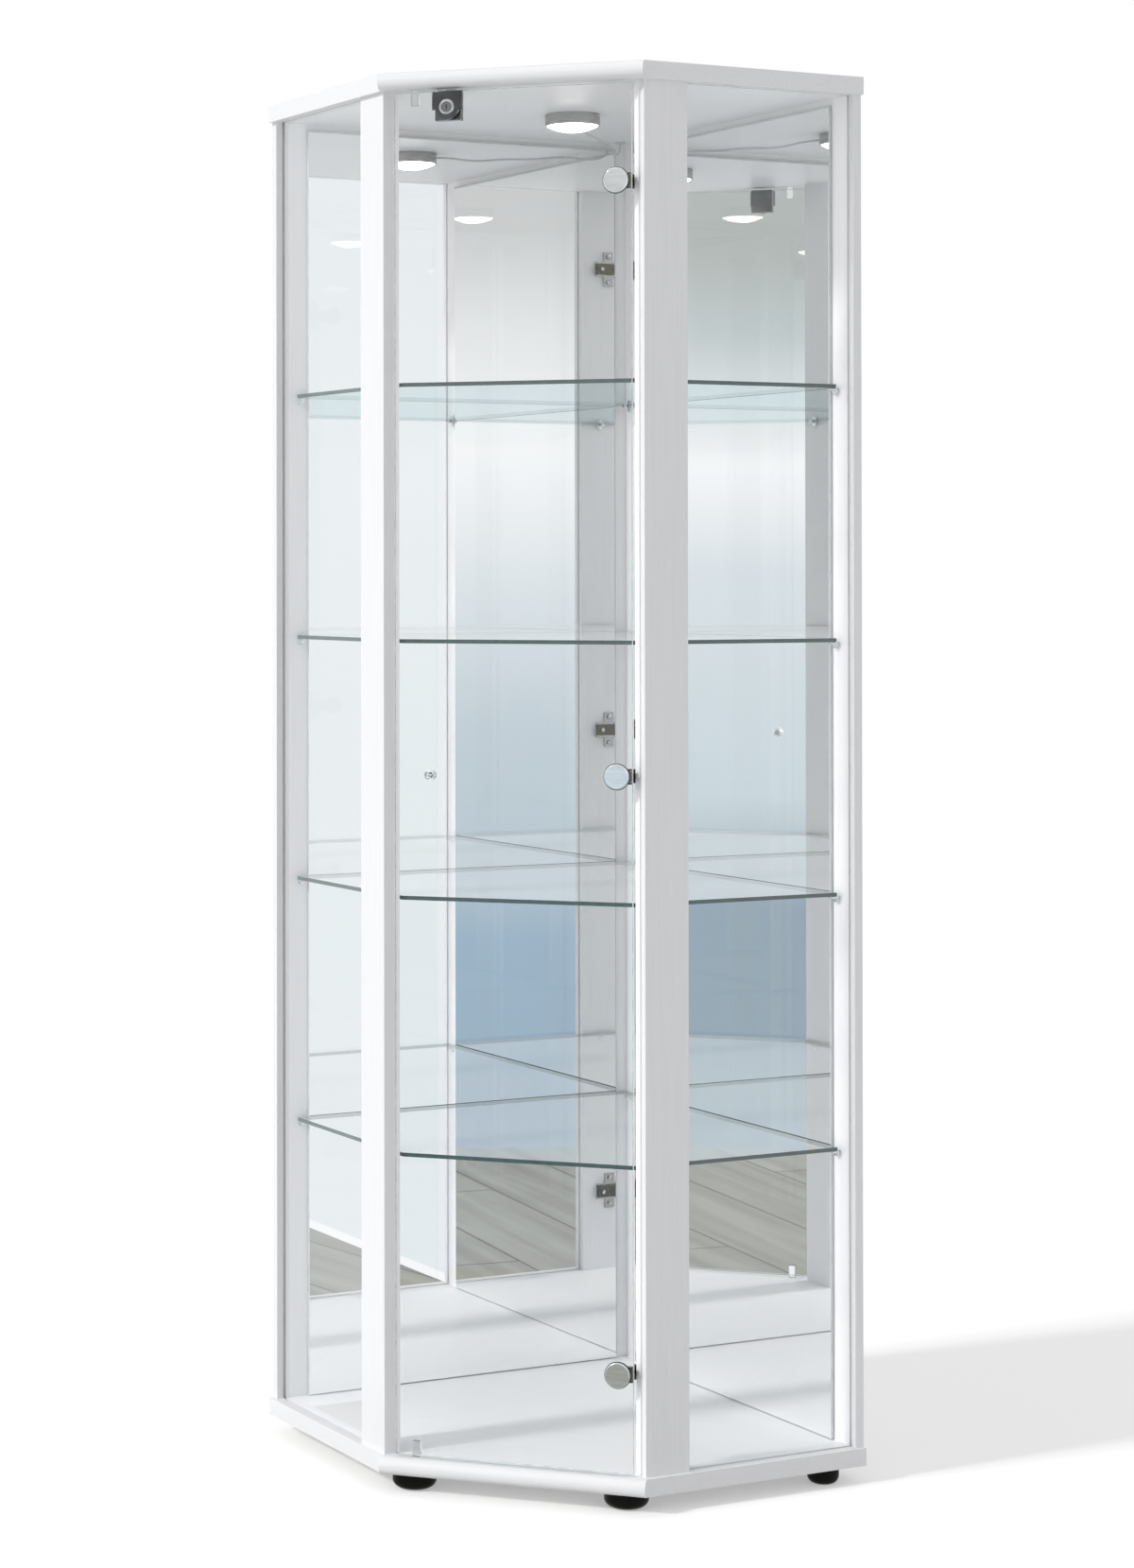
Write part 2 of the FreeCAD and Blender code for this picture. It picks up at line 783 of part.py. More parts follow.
# ------------------------------------------------------------------ carcass screws
lower = []
upper = []
covers = []
for x, y in screw_spots():
    world = "front_y + " + y
    lower.append(screw("screw_radius", "screw_reach", "screw_head_radius", "screw_head_thick",
                       (x, world, "foot_height + screw_head_sink", TURNS["up"])))
    upper.append(screw("screw_radius", "screw_reach", "screw_head_radius", "screw_head_thick",
                       (x, world, "total_height - cover_thick - cover_gap - screw_head_thick",
                        TURNS["down"])))
    covers.append(rod("cover_radius", "cover_thick", x, world, "total_height - cover_thick"))
keep(group(lower), "carcass_screws_base")
keep(group(upper), "carcass_screws_top")
keep(group(covers), "screw_covers_top")

# ------------------------------------------------------------------------- feet
foot_screws = []
for node, radius, x, y in FEET:
    foot = new_body(FRONT)
    sketch = new_sketch(foot, "XY_Plane", "0")
    draw_circle(sketch, x, y, radius)
    solid = pad(foot, sketch, "foot_height")
    doc.recompute()
    ring = 0
    for number, edge in enumerate(solid.Shape.Edges, 1):
        if edge.BoundBox.ZMax < 0.01:
            ring = number
    fillet = foot.newObject("PartDesign::Fillet", fresh("fillet"))
    fillet.Base = (solid, ["Edge%d" % ring])
    fillet.setExpression("Radius", full("foot_rounding"))
    sink(foot, "XY_Plane", "0", "foot_bore_depth", circles=[(x, y, "foot_bore_radius")])
    sink(foot, "XY_Plane", "0", "foot_height + 1",
         circles=[(x, y, "foot_screw_radius + fit_play")])
    keep(foot, node)
    foot_screws.append(screw("foot_screw_radius", "foot_height - foot_bore_depth + foot_screw_grip",
                             "foot_screw_head", "foot_screw_head_thick",
                             (x, "front_y + " + y, "foot_bore_depth", TURNS["up"])))
keep(group(foot_screws), "foot_screws")

# ------------------------------------------------------------------------- light
LED_Y = "front_y + led_in"
shell = rod("led_radius", "led_height", "led_x", LED_Y, "led_low")
housing = cut(shell, [
    rod("led_radius - led_wall", "led_height - led_plate + 1", "led_x", LED_Y, "led_low - 1"),
    rod("lead_radius + lead_hole_play", "led_radius + 2", "led_x", LED_Y, "top_low - lead_drop",
        "back"),
    rod("led_screw_radius + fit_play", "led_height", "led_x + led_screw_half", LED_Y, "led_low"),
    rod("led_screw_radius + fit_play", "led_height", "led_x - led_screw_half", LED_Y, "led_low"),
])
keep(housing, "led_housing")

BALL_Z = "led_low - lens_drop + lens_sphere"
outside = overlap(
    ball("lens_sphere", "led_x", LED_Y, BALL_Z),
    rod("lens_radius", "lens_drop + lens_rim + 1", "led_x", LED_Y, "led_low - lens_drop - 1"))
inside = overlap(
    ball("lens_sphere - lens_thick", "led_x", LED_Y, BALL_Z),
    rod("lens_radius - lens_thick", "lens_drop + lens_rim + 4", "led_x", LED_Y,
        "led_low - lens_drop - 1"))
keep(cut(outside, [inside]), "led_lens")

board_low = "top_low - led_plate - led_board_thick"
keep(cut(rod("led_board_radius", "led_board_thick", "led_x", LED_Y, board_low), [
    rod("led_board_relief", "led_board_thick + 2", "led_x + led_screw_half", LED_Y,
        board_low + " - 1"),
    rod("led_board_relief", "led_board_thick + 2", "led_x - led_screw_half", LED_Y,
        board_low + " - 1"),
]), "led_board")
keep(group([
    screw("led_screw_radius", "led_plate + led_screw_grip", "led_screw_head",
          "led_screw_head_thick",
          ("led_x %s led_screw_half" % sign, LED_Y, "top_low - led_plate", TURNS["up"]))
    for sign in "+-"]), "led_screws")

INLET_Y = "front_y + inlet_in"
socket = join([
    rod("inlet_radius", "panel_thick", "0", INLET_Y, "top_low"),
    rod("inlet_flange", "inlet_flange_thick", "0", INLET_Y, "top_low - inlet_flange_thick"),
])
keep(cut(socket, [
    rod("inlet_bore", "inlet_bore_depth + 1", "0", INLET_Y, "total_height - inlet_bore_depth"),
    rod("lead_radius + lead_hole_play", "inlet_lead_depth + 1", "0", INLET_Y,
        "top_low - inlet_flange_thick - 1"),
]), "power_inlet")


def worth(name):
    sheet = sizes if home[name] == "Sizes" else worked
    return float(sheet.get(name))


def lead_points():
    """corner points of the lead, from the light to the socket"""
    doc.recompute()
    led_x = worth("led_x")
    led_y = worth("front_y") + worth("led_in")
    ceiling = worth("top_low")
    inlet_y = worth("front_y") + worth("inlet_in")
    exit_z = ceiling - worth("lead_drop")
    inner = led_y + worth("led_radius") - worth("led_wall") - 3.0
    last_z = ceiling - worth("inlet_flange_thick") - 1.0 + worth("inlet_lead_depth")
    span = inlet_y - (inner + 23.0)
    points = [(led_x, inner, exit_z), (led_x, inner + 23.0, exit_z)]
    for share, side_step, drop in (
            (0.170, 2.2, 15.4),
            (0.350, 4.6, 13.0),
            (0.537, 1.6, 16.0),
            (0.724, 2.8, 13.4),
            (0.854, 0.7, 18.8),
            (0.931, -0.5, 20.0)):
        points.append((side_step, inner + 23.0 + share * span, ceiling - drop))
    points.append((0.0, inlet_y, ceiling - 13.5))
    points.append((0.0, inlet_y, last_z))
    return [FreeCAD.Vector(*point) for point in points]


def soft_path(points, share=0.45):
    """straight runs joined by arcs that touch both runs"""
    edges = []
    radii = []
    start = points[0]
    for before, here, after in zip(points, points[1:], points[2:]):
        toward = (here - before).normalize()
        onward = (after - here).normalize()
        half = toward.getAngle(onward) / 2
        setback = share * min((here - before).Length, (after - here).Length)
        radius = setback / math.tan(half)
        entry = here - toward * setback
        leave = here + onward * setback
        crown = (onward - toward).normalize()
        centre = here + crown * (radius / math.cos(half))
        middle = centre - crown * radius
        edges.append(Part.LineSegment(start, entry).toShape())
        edges.append(Part.Arc(entry, middle, leave).toShape())
        radii.append(radius)
        start = leave
    edges.append(Part.LineSegment(start, points[-1]).toShape())
    return Part.Wire(edges), radii


corners = lead_points()
path, radii = soft_path(corners)
heading = (corners[1] - corners[0]).normalize()
section = Part.Wire([Part.Circle(corners[0], heading, worth("lead_radius")).toShape()])
lead = doc.addObject("Part::Feature", "lead")
lead.Shape = path.makePipeShell([section], True, False)
keep(lead, "led_lead")
print("lead points", [tuple(round(value, 2) for value in point) for point in corners])
print("lead radii", [round(radius, 1) for radius in radii])
print("lead volume", round(lead.Shape.Volume, 1),
      "section x length", round(path.Length * math.pi * worth("lead_radius") ** 2, 1))

# --------------------------------------------------------------------- door glass
door = new_body(FRONT)
sketch = new_sketch(door, "XY_Plane", "door_low")
draw_outline(sketch, [
    ("-door_half", "door_setback"),
    ("door_half", "door_setback"),
    ("door_half", "glass_back"),
    ("-door_half", "glass_back"),
])
pad(door, sketch, "door_high - door_low")
face = "-door_setback"
holes = [("cup_x", "hinge_" + level, "plug_radius + plug_play") for level in HINGES]
holes.append(("-knob_offset", "knob_height", "knob_hole"))
holes.append(("-lock_offset", "lock_z", "lock_glass_hole"))
last = sink(door, "XZ_Plane", face, "door_glass_thick + 1", circles=holes)
soften(door, last, "glass_bevel")
keep(door, "door_glass")

# -------------------------------------------------------------------------- hinges
GLASS_FRONT_Y = "front_y + door_setback"
GLASS_BACK_Y = "front_y + glass_back"
PIVOT_Y = "front_y + pivot_in"
gaskets = []
pins = []
hinge_screws = []
for level in HINGES:
    height = "hinge_" + level
    # cup: plug through the glass, flange, housing and two ears round the pin
    ears = []
    bores = []
    for low in ("%s + mouth_half" % height, "%s - mouth_half - ear_thick" % height):
        ears.append(box("cup_x", "pivot_x", PIVOT_Y + " - ear_radius", PIVOT_Y + " + ear_radius",
                        low, low + " + ear_thick"))
        ears.append(rod("ear_radius", "ear_thick", "pivot_x", PIVOT_Y, low))
    plug_front = GLASS_FRONT_Y + " - gasket_thick"
    cup = join([
        rod("plug_radius", "door_glass_thick + gasket_thick", "cup_x", plug_front, height, "back"),
        rod("flange_radius", "flange_thick", "cup_x", GLASS_BACK_Y, height, "back"),
        rod("cup_radius", "cup_depth", "cup_x", GLASS_BACK_Y, height, "back"),
    ] + ears)
    mouth = box("pivot_x - mouth_back", "pivot_x + 20", GLASS_BACK_Y, GLASS_BACK_Y + " + cup_depth + 1",
                height + " - mouth_half", height + " + mouth_half")
    bore = rod("hinge_pin_radius + fit_play", "2 * (mouth_half + ear_thick) + 2", "pivot_x", PIVOT_Y,
               height + " - mouth_half - ear_thick - 1")
    keep(cut(cup, [mouth, bore]), "hinge_cup_" + level)
    # cap on the front, and the gasket under it
    cap = join([
        rod("cap_radius", "cap_thick - cap_rounding", "cup_x", plug_front, height, "front"),
        cone("cap_radius", "cap_radius - cap_rounding", "cap_rounding", "cup_x",
             plug_front + " - cap_thick + cap_rounding", height, "front"),
    ])
    keep(cap, "hinge_cap_" + level)
    ring = rod("gasket_radius", "gasket_thick", "cup_x", GLASS_FRONT_Y, height, "front")
    gap = rod("plug_radius + plug_play", "gasket_thick + 2", "cup_x", GLASS_FRONT_Y + " + 1",
              height, "front")
    gaskets.append(cut(ring, [gap]))
    pins.append(rod("hinge_pin_radius", "2 * (mouth_half + ear_thick)", "pivot_x", PIVOT_Y,
                    height + " - mouth_half - ear_thick"))
    # arm: neck, taller block along the post, barrel round the pin
    arm = new_body(FRONT)
    block = [
        ("pivot_x + arm_half", "pivot_x + arm_half + slope_near"),
        ("post_corner_x + (arm_end - plate_thick) * diagonal_share",
         "post_corner_in + (arm_end + plate_thick) * diagonal_share"),
        ("post_corner_x + (arm_end - plate_thick - arm_thick) * diagonal_share",
         "post_corner_in + (arm_end + plate_thick + arm_thick) * diagonal_share"),
        ("pivot_x - arm_half", "pivot_x - arm_half + slope_far"),
    ]
    neck = [("pivot_x + arm_half", "pivot_in")] + block + [("pivot_x - arm_half", "pivot_in")]
    for outline, up in ((neck, "barrel_half"), (block, "arm_up")):
        sketch = new_sketch(arm, "XY_Plane", height)
        draw_outline(sketch, outline)
        pad(arm, sketch, "2 * " + up, both=True)
    sketch = new_sketch(arm, "XY_Plane", height)
    draw_circle(sketch, "pivot_x", "pivot_in", "barrel_radius")
    pad(arm, sketch, "2 * barrel_half", both=True)
    sink(arm, "XY_Plane", height, "barrel_half + 1", circles=[("pivot_x", "pivot_in", "barrel_bore")])
    # the plate's own frame: x along the post from its front corner, y off the post
    post_frame = ("post_corner_x", "front_y + post_corner_in", height, "vector(0;0;1);45")
    drill = join([
        rod("arm_screw_radius + fit_play", "plate_thick + arm_thick + 2", "arm_screw_at", "-1", "0",
            "back"),
        rod("0.2", "0.2", "arm_screw_at", "0", "0", "back"),
    ], post_frame)
    keep(cut(arm, [drill]), "hinge_arm_" + level)
    across = "(wing_start + wing_end) / 2"
    plate_tools = [rod("arm_screw_radius + fit_play", "plate_thick + 2", "arm_screw_at", "-1", "0",
                       "back")]
    for sign in ("", "-"):
        plate_tools.append(rod("hinge_screw_radius + fit_play", "plate_thick + 2", across, "-1",
                               "%shinge_screw_half" % sign, "back"))
    blank = join([
        box("plate_start", "arm_end", "0", "plate_thick", "-plate_half", "plate_half"),
        box("wing_start", "wing_end", "0", "plate_thick", "-wing_half", "wing_half"),
    ])
    keep(cut(blank, plate_tools, post_frame), "hinge_plate_" + level)
    # screws, heads on the plate and on the arm, shanks towards the post
    for sign in ("+", "-"):
        hinge_screws.append(screw(
            "hinge_screw_radius", "plate_thick + hinge_screw_grip", "hinge_screw_head",
            "hinge_screw_head_thick",
            ("post_corner_x + ((%s) - plate_thick) * diagonal_share" % across,
             "front_y + post_corner_in + ((%s) + plate_thick) * diagonal_share" % across,
             "%s %s hinge_screw_half" % (height, sign),
             "vector(diagonal_share;diagonal_share;0);90")))
    hinge_screws.append(screw(
        "arm_screw_radius", "arm_thick + plate_thick - 0.2", "arm_screw_head",
        "arm_screw_head_thick",
        ("post_corner_x + (arm_screw_at - plate_thick - arm_thick) * diagonal_share",
         "front_y + post_corner_in + (arm_screw_at + plate_thick + arm_thick) * diagonal_share",
         height, "vector(diagonal_share;diagonal_share;0);90")))
keep(group(gaskets), "hinge_gaskets")
keep(group(pins), "hinge_pins")
keep(group(hinge_screws), "hinge_screws")

# ---------------------------------------------------------------------------- knob
KNOB = "-knob_offset"
spool = join([
    rod("knob_radius", "2.2", KNOB, GLASS_FRONT_Y, "knob_height", "front"),
    cone("knob_radius - 0.4", "knob_waist", "2.3", KNOB, GLASS_FRONT_Y + " - 2.2", "knob_height",
         "front"),
    rod("knob_waist", "2.5", KNOB, GLASS_FRONT_Y + " - 4.5", "knob_height", "front"),
    cone("knob_waist", "knob_radius - 0.4", "2.5", KNOB, GLASS_FRONT_Y + " - 7", "knob_height",
         "front"),
    rod("knob_radius", "3", KNOB, GLASS_FRONT_Y + " - 9.5", "knob_height", "front"),
])
keep(cut(spool, [rod("knob_bore", "9", KNOB, GLASS_FRONT_Y + " + 1", "knob_height", "front")]),
     "door_knob")
keep(screw("knob_screw_radius", "door_glass_thick + 7.5", "knob_screw_head",
           "knob_screw_head_thick",
           (KNOB, GLASS_BACK_Y, "knob_height", TURNS["front"])), "knob_screw")

# ---------------------------------------------------------------------------- lock
LOCK = "-lock_offset"
LINE = "front_y"
front_plate = join([
    box(LOCK + " - lock_half", LOCK + " + lock_half", GLASS_FRONT_Y + " - lock_thick",
        GLASS_FRONT_Y, "lock_z - lock_down", "lock_z + lock_up"),
    rod("lock_round", "lock_thick", LOCK, GLASS_FRONT_Y, "lock_z", "front"),
    rod("lock_barrel", "door_glass_thick + lock_thick", LOCK, GLASS_BACK_Y, "lock_z", "front"),
])
keep(cut(front_plate, [rod("key_bore", "60", LOCK, GLASS_BACK_Y + " + 5", "lock_z", "front")]),
     "lock_body")

case = box(LOCK + " - lock_case_left", LOCK + " + lock_case_right", GLASS_BACK_Y,
           GLASS_BACK_Y + " + lock_case_depth", "lock_z - lock_round", "lock_z + lock_up")
channel = box(LOCK + " - bolt_half - bolt_play", LOCK + " + bolt_half + bolt_play",
              LINE + " + bolt_front - bolt_play", LINE + " + bolt_front + bolt_thick + bolt_play",
              "lock_z - bolt_down - 2 * bolt_play", "lock_z + lock_up + 2")
opening = rod("key_bore", "bolt_front - glass_back + 1", LOCK, GLASS_BACK_Y + " - 0.5", "lock_z",
              "back")
keep(cut(case, [channel, opening]), "lock_case")

plug = join([
    rod("key_radius", "key_reach + lock_thick - door_setback + key_proud", LOCK,
        LINE + " + key_reach", "lock_z", "front"),
    rod("drive_radius", "drive_reach - key_reach + 1", LOCK + " - drive_offset",
        LINE + " + drive_reach", "lock_z - drive_offset", "front"),
])
keyway = box(LOCK + " - 0.7", LOCK + " + 0.7", GLASS_FRONT_Y + " - lock_thick - key_proud - 1",
             GLASS_FRONT_Y + " - lock_thick + 3", "lock_z - 3.2", "lock_z + 3.2")
keep(cut(plug, [keyway]), "lock_cylinder")

tongue = box(LOCK + " - bolt_half", LOCK + " + bolt_half", LINE + " + bolt_front",
             LINE + " + bolt_front + bolt_thick", "lock_z - bolt_down", "lock_z + lock_up")
slot = box(LOCK + " - bolt_half - 1", LOCK + " - slot_inner", LINE + " + bolt_front - 1",
           LINE + " + bolt_front + bolt_thick + 1", "lock_z - drive_offset - slot_half",
           "lock_z - drive_offset + slot_half")
keep(cut(tongue, [slot]), "lock_bolt")

MID_Y = "front_y + " + BOLT_IN
strike = box(LOCK + " - strike_half_wide", LOCK + " + strike_half_wide",
             MID_Y + " - strike_half_deep", MID_Y + " + strike_half_deep",
             "top_low", "top_low + strike_thick")
window = box(LOCK + " - strike_slot_wide", LOCK + " + strike_slot_wide",
             MID_Y + " - strike_slot_deep", MID_Y + " + strike_slot_deep",
             "top_low - 1", "top_low + strike_thick + 1")
keep(cut(strike, [window]), "lock_strike")

# ---------------------------------------------------------------------- door stops
stops = []
for low in ("top_low - stop_height", "base_top"):
    stops.append(plate(FRONT, [
        ("-stop_offset - stop_half", "glass_back + door_stop_gap"),
        ("-stop_offset + stop_half", "glass_back + door_stop_gap"),
        ("-stop_offset + stop_half", "glass_back + door_stop_gap + stop_depth"),
        ("-stop_offset - stop_half", "glass_back + door_stop_gap + stop_depth"),
    ], low, "stop_height"))
keep(group(stops), "door_stops")

# ------------------------------------------------------------------- check and write
doc.recompute()
trouble = []
for obj in doc.Objects:
    state = [word for word in obj.State if word in ("Invalid", "Error")]
    if state:
        trouble.append((obj.Name, obj.Label, state))
for node, obj in nodes:
    if obj.Shape.isNull() or not obj.Shape.isValid() or not obj.Shape.Solids:
        trouble.append((node, "shape"))
if trouble:
    raise RuntimeError("objects to mend: %s" % trouble)
os.makedirs("parts", exist_ok=True)
for node, obj in nodes:
    obj.Shape.exportStep("parts/%s.step" % node)
    bound = obj.Shape.BoundBox
    print("%-22s solids %2d  x %8.2f %8.2f  y %8.2f %8.2f  z %8.2f %8.2f" % (
        node, len(obj.Shape.Solids), bound.XMin, bound.XMax, bound.YMin, bound.YMax,
        bound.ZMin, bound.ZMax))
print("nodes", len(nodes))
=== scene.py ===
# %% [markdown]
# # A corner curio cabinet, dressed for its picture
#
# The real object is a tall five-sided display cabinet that stands in the corner of a room. White
# melamine boards frame it, mirrors line its two walls, and glass closes the rest. The solid model
# comes in as a fixed frame: every panel, pane and fitting is already the right size and in the
# right place. What is left is what the eye reads, which is finish, soft edges, turned parts, small
# hardware and light.
#
# The frame could be loaded at the end and matched by eye, but then every size would be guessed
# twice. Loading it first means that each later piece asks the frame where it belongs.

# %% Load the frame
import math

import bmesh
import bpy
from mathutils import Matrix, Vector


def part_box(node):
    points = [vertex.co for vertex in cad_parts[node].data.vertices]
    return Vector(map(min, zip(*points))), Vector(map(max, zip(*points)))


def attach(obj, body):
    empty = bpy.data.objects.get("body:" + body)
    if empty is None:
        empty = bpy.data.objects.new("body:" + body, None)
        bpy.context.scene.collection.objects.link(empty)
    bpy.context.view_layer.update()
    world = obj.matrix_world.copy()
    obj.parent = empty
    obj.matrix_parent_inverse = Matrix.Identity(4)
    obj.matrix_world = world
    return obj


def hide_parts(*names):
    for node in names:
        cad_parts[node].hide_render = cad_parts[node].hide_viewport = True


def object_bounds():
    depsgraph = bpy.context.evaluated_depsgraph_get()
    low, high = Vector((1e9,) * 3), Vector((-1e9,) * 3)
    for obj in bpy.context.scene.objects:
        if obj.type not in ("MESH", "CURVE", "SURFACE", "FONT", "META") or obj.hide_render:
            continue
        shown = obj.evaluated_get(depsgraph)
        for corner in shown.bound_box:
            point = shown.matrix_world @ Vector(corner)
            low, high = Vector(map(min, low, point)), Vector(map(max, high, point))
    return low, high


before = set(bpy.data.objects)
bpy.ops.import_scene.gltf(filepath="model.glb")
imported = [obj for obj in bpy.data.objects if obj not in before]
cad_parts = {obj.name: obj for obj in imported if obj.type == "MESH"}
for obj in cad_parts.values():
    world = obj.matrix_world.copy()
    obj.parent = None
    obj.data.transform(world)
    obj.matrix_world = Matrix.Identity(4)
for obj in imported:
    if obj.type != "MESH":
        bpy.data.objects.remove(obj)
CAD_LOW, CAD_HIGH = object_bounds()
MM = 0.001
HINGE_LEVELS = ("bottom", "middle", "top")
SIDES = ("left", "right")
print("size in mm", [round(side / MM, 1) for side in CAD_HIGH - CAD_LOW])

# %% [markdown]
# ## The camera
#
# A tall cabinet looks right from chest height through a long lens, with its uprights upright.
# Tilting the camera down would make them lean together. The lens is shifted instead, as on a view
# camera: the picture's centre moves while the film stays vertical.

# %% Camera
CAMERA_PLACE = Vector((1.0672, -4.21565, 1.1414))
CAMERA_YAW = math.radians(18.90)
CAMERA_PITCH = math.radians(0.40)
CAMERA_ROLL = math.radians(-0.05)
FILM_WIDTH = 36.0
LENS = 75.72
LENS_SHIFT = (0.1691, -0.1506)

camera_data = bpy.data.cameras.new("view_camera")
camera_data.sensor_width = FILM_WIDTH
camera_data.lens = LENS
camera_data.shift_x = LENS_SHIFT[0]
camera_data.shift_y = LENS_SHIFT[1]
camera = bpy.data.objects.new("view_camera", camera_data)
bpy.context.scene.collection.objects.link(camera)

ahead = Vector((-math.sin(CAMERA_YAW) * math.cos(CAMERA_PITCH),
                math.cos(CAMERA_YAW) * math.cos(CAMERA_PITCH),
                math.sin(CAMERA_PITCH)))
level = Vector((math.cos(CAMERA_YAW), math.sin(CAMERA_YAW), 0.0))
above = level.cross(ahead)
camera_right = level * math.cos(CAMERA_ROLL) + above * math.sin(CAMERA_ROLL)
camera_up = above * math.cos(CAMERA_ROLL) - level * math.sin(CAMERA_ROLL)
turn = Matrix((camera_right, camera_up, -ahead)).transposed().to_4x4()
camera.matrix_world = Matrix.Translation(CAMERA_PLACE) @ turn
bpy.context.scene.camera = camera
print("camera", [round(value, 3) for value in camera.location], "lens", LENS)

# %% [markdown]
# ## The lead of the light
#
# A thin two-core lead runs under the top from the light to a socket in the back corner. It is
# slack, so it wanders a little and sags between its ends. A free cord is one smooth curve: the
# points below are the corners that the curve is drawn towards, and the spline rounds them by
# itself. A swept mesh would need its own bends at every corner.

# %% Lead
LEAD_POINTS = (
    (0.0055, 0.01097, 1.7310),
    (0.0055, 0.03397, 1.7310),
    (0.0022, 0.07432, 1.7226),
    (0.0046, 0.11704, 1.7250),
    (0.0016, 0.16143, 1.7220),
    (0.0028, 0.20582, 1.7246),
    (0.0007, 0.23668, 1.7192),
    (-0.0005, 0.25496, 1.7180),
    (0.0000, 0.27133, 1.7245),
    (0.0000, 0.27133, 1.7410),
)
LEAD_DIAMETER = 3 * MM

lead_curve = bpy.data.curves.new("lead_of_the_light", "CURVE")
lead_curve.dimensions = "3D"
lead_curve.bevel_depth = 1.0
lead_curve.bevel_resolution = 4
lead_curve.use_fill_caps = True
lead_line = lead_curve.splines.new("NURBS")
lead_line.points.add(len(LEAD_POINTS) - 1)
# A curve's box grows by the radius of its points, so the thickness is set there.
for point, place in zip(lead_line.points, LEAD_POINTS):
    point.co = (*place, 1.0)
    point.radius = LEAD_DIAMETER / 2
lead_line.order_u = 3
lead_line.use_endpoint_u = True
lead_line.resolution_u = 12
lead = bpy.data.objects.new("lead_of_the_light", lead_curve)
bpy.context.scene.collection.objects.link(lead)
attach(lead, "carcass")
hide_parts("led_lead")
print("lead points", len(LEAD_POINTS))

# %% [markdown]
# ## Wiring nodes
#
# Every light, finish and repeated shape below is a small tree of nodes. A tree can be drawn by
# hand in the node editor, but a script can repeat it and change it. Written one setting and one
# link at a time it fills pages, so one helper makes a node, sets it and links its inputs in a
# single call. The others cover what comes back most often.

# %% Node helpers


def add_node(tree, kind, inputs=None, **settings):
    """a new node; inputs gives each socket a plain value or another node's output"""
    made = tree.nodes.new(kind)
    for name, value in settings.items():
        setattr(made, name, value)
    for socket, value in (inputs or {}).items():
        if isinstance(value, bpy.types.NodeSocket):
            tree.links.new(value, made.inputs[socket])
        else:
            made.inputs[socket].default_value = value
    return made


def maths(tree, operation, *values):
    """the result of one sum; each value is a number or another node's output"""
    made = add_node(tree, "ShaderNodeMath", dict(enumerate(values)), operation=operation)
    return made.outputs[0]


def colour_ramp(tree, source, tones):
    """a colour for each value of source; tones are pairs of position and colour"""
    ramp = add_node(tree, "ShaderNodeValToRGB", {0: source})
    stops = ramp.color_ramp.elements
    while len(stops) < len(tones):
        stops.new(0.5)
    for stop, (share, tone) in zip(stops, tones):
        stop.position = share
        stop.color = (*tone, 1.0)
    return ramp.outputs[0]


def empty_finish(name):
    """a new material with nothing in its tree, and that tree"""
    material = bpy.data.materials.new(name)
    material.use_nodes = True
    material.node_tree.nodes.clear()
    return material, material.node_tree


def glow_only(tree, colour):
    """ends a material's tree in a plain glow"""
    light = add_node(tree, "ShaderNodeEmission", {"Color": colour})
    add_node(tree, "ShaderNodeOutputMaterial", {"Surface": light.outputs[0]})


print("node helpers ready")

# %% [markdown]
# ## Studio light
#
# One broad lamp stands to the front left, square to the left glass side, as high as a window. The
# boards that face it come out white and the boards that face the other way come out pale grey,
# which is what gives the cabinet its shape. A sun with a wide disc is the simplest soft key that
# lights a tall object evenly from foot to top; an area lamp would fade towards the floor.
#
# The world does two jobs. For bounced light it is a pale sky, which fills the shadows. For what
# the camera, metal or glass sees directly it is plain white paper. Behind panes the sky counts for
# more, as if the shadows in there had been lifted a little: mirrors and white boards throw light
# around inside a real cabinet more often than a short render can follow. That extra light comes
# from the key's side, so the inner faces keep their shape.

# %% Key light and world
KEY_HEADING = Vector((1.0, 1.0, 0.0)).normalized()
KEY_HEIGHT = math.radians(34)
KEY_STRENGTH = 1.75
KEY_DISC = math.radians(7)
LAMP_PLACE = (-3.0, -3.0, 3.0)
SKY_COLOUR = (0.985, 0.982, 1.0, 1.0)
SKY_STRENGTH = 0.62
SKY_BEHIND_GLASS = 0.35
SKY_TO_ONE_SIDE = 2.2
PAPER_COLOUR = (1.0, 1.0, 1.0, 1.0)
PAPER_WHITE = 1.0

key_data = bpy.data.lights.new("key_light", "SUN")
key_data.energy = KEY_STRENGTH
key_data.angle = KEY_DISC
key = bpy.data.objects.new("key_light", key_data)
key_way = KEY_HEADING * math.cos(KEY_HEIGHT) - Vector((0, 0, math.sin(KEY_HEIGHT)))
key.rotation_euler = key_way.to_track_quat("-Z", "Y").to_euler()
key.location = LAMP_PLACE
bpy.context.scene.collection.objects.link(key)

world = bpy.data.worlds.new("studio")
world.use_nodes = True
bpy.context.scene.world = world
sky = world.node_tree
sky.nodes.clear()
sky_path = add_node(sky, "ShaderNodeLightPath")
sky_way = add_node(sky, "ShaderNodeTexCoord")
sky_split = add_node(sky, "ShaderNodeSeparateXYZ", {0: sky_way.outputs["Generated"]})
sky_side = maths(sky, "MULTIPLY_ADD", sky_split.outputs["X"], -SKY_TO_ONE_SIDE, 1.0)
past_glass = maths(sky, "GREATER_THAN", sky_path.outputs["Transparent Depth"], 0.5)
sky_extra = maths(sky, "MULTIPLY", past_glass, sky_side)
sky_level = maths(sky, "MULTIPLY_ADD", sky_extra, SKY_BEHIND_GLASS, SKY_STRENGTH)
sky_fill = add_node(sky, "ShaderNodeBackground", {"Color": SKY_COLOUR, "Strength": sky_level})
sky_paper = add_node(sky, "ShaderNodeBackground", {"Color": PAPER_COLOUR, "Strength": PAPER_WHITE})
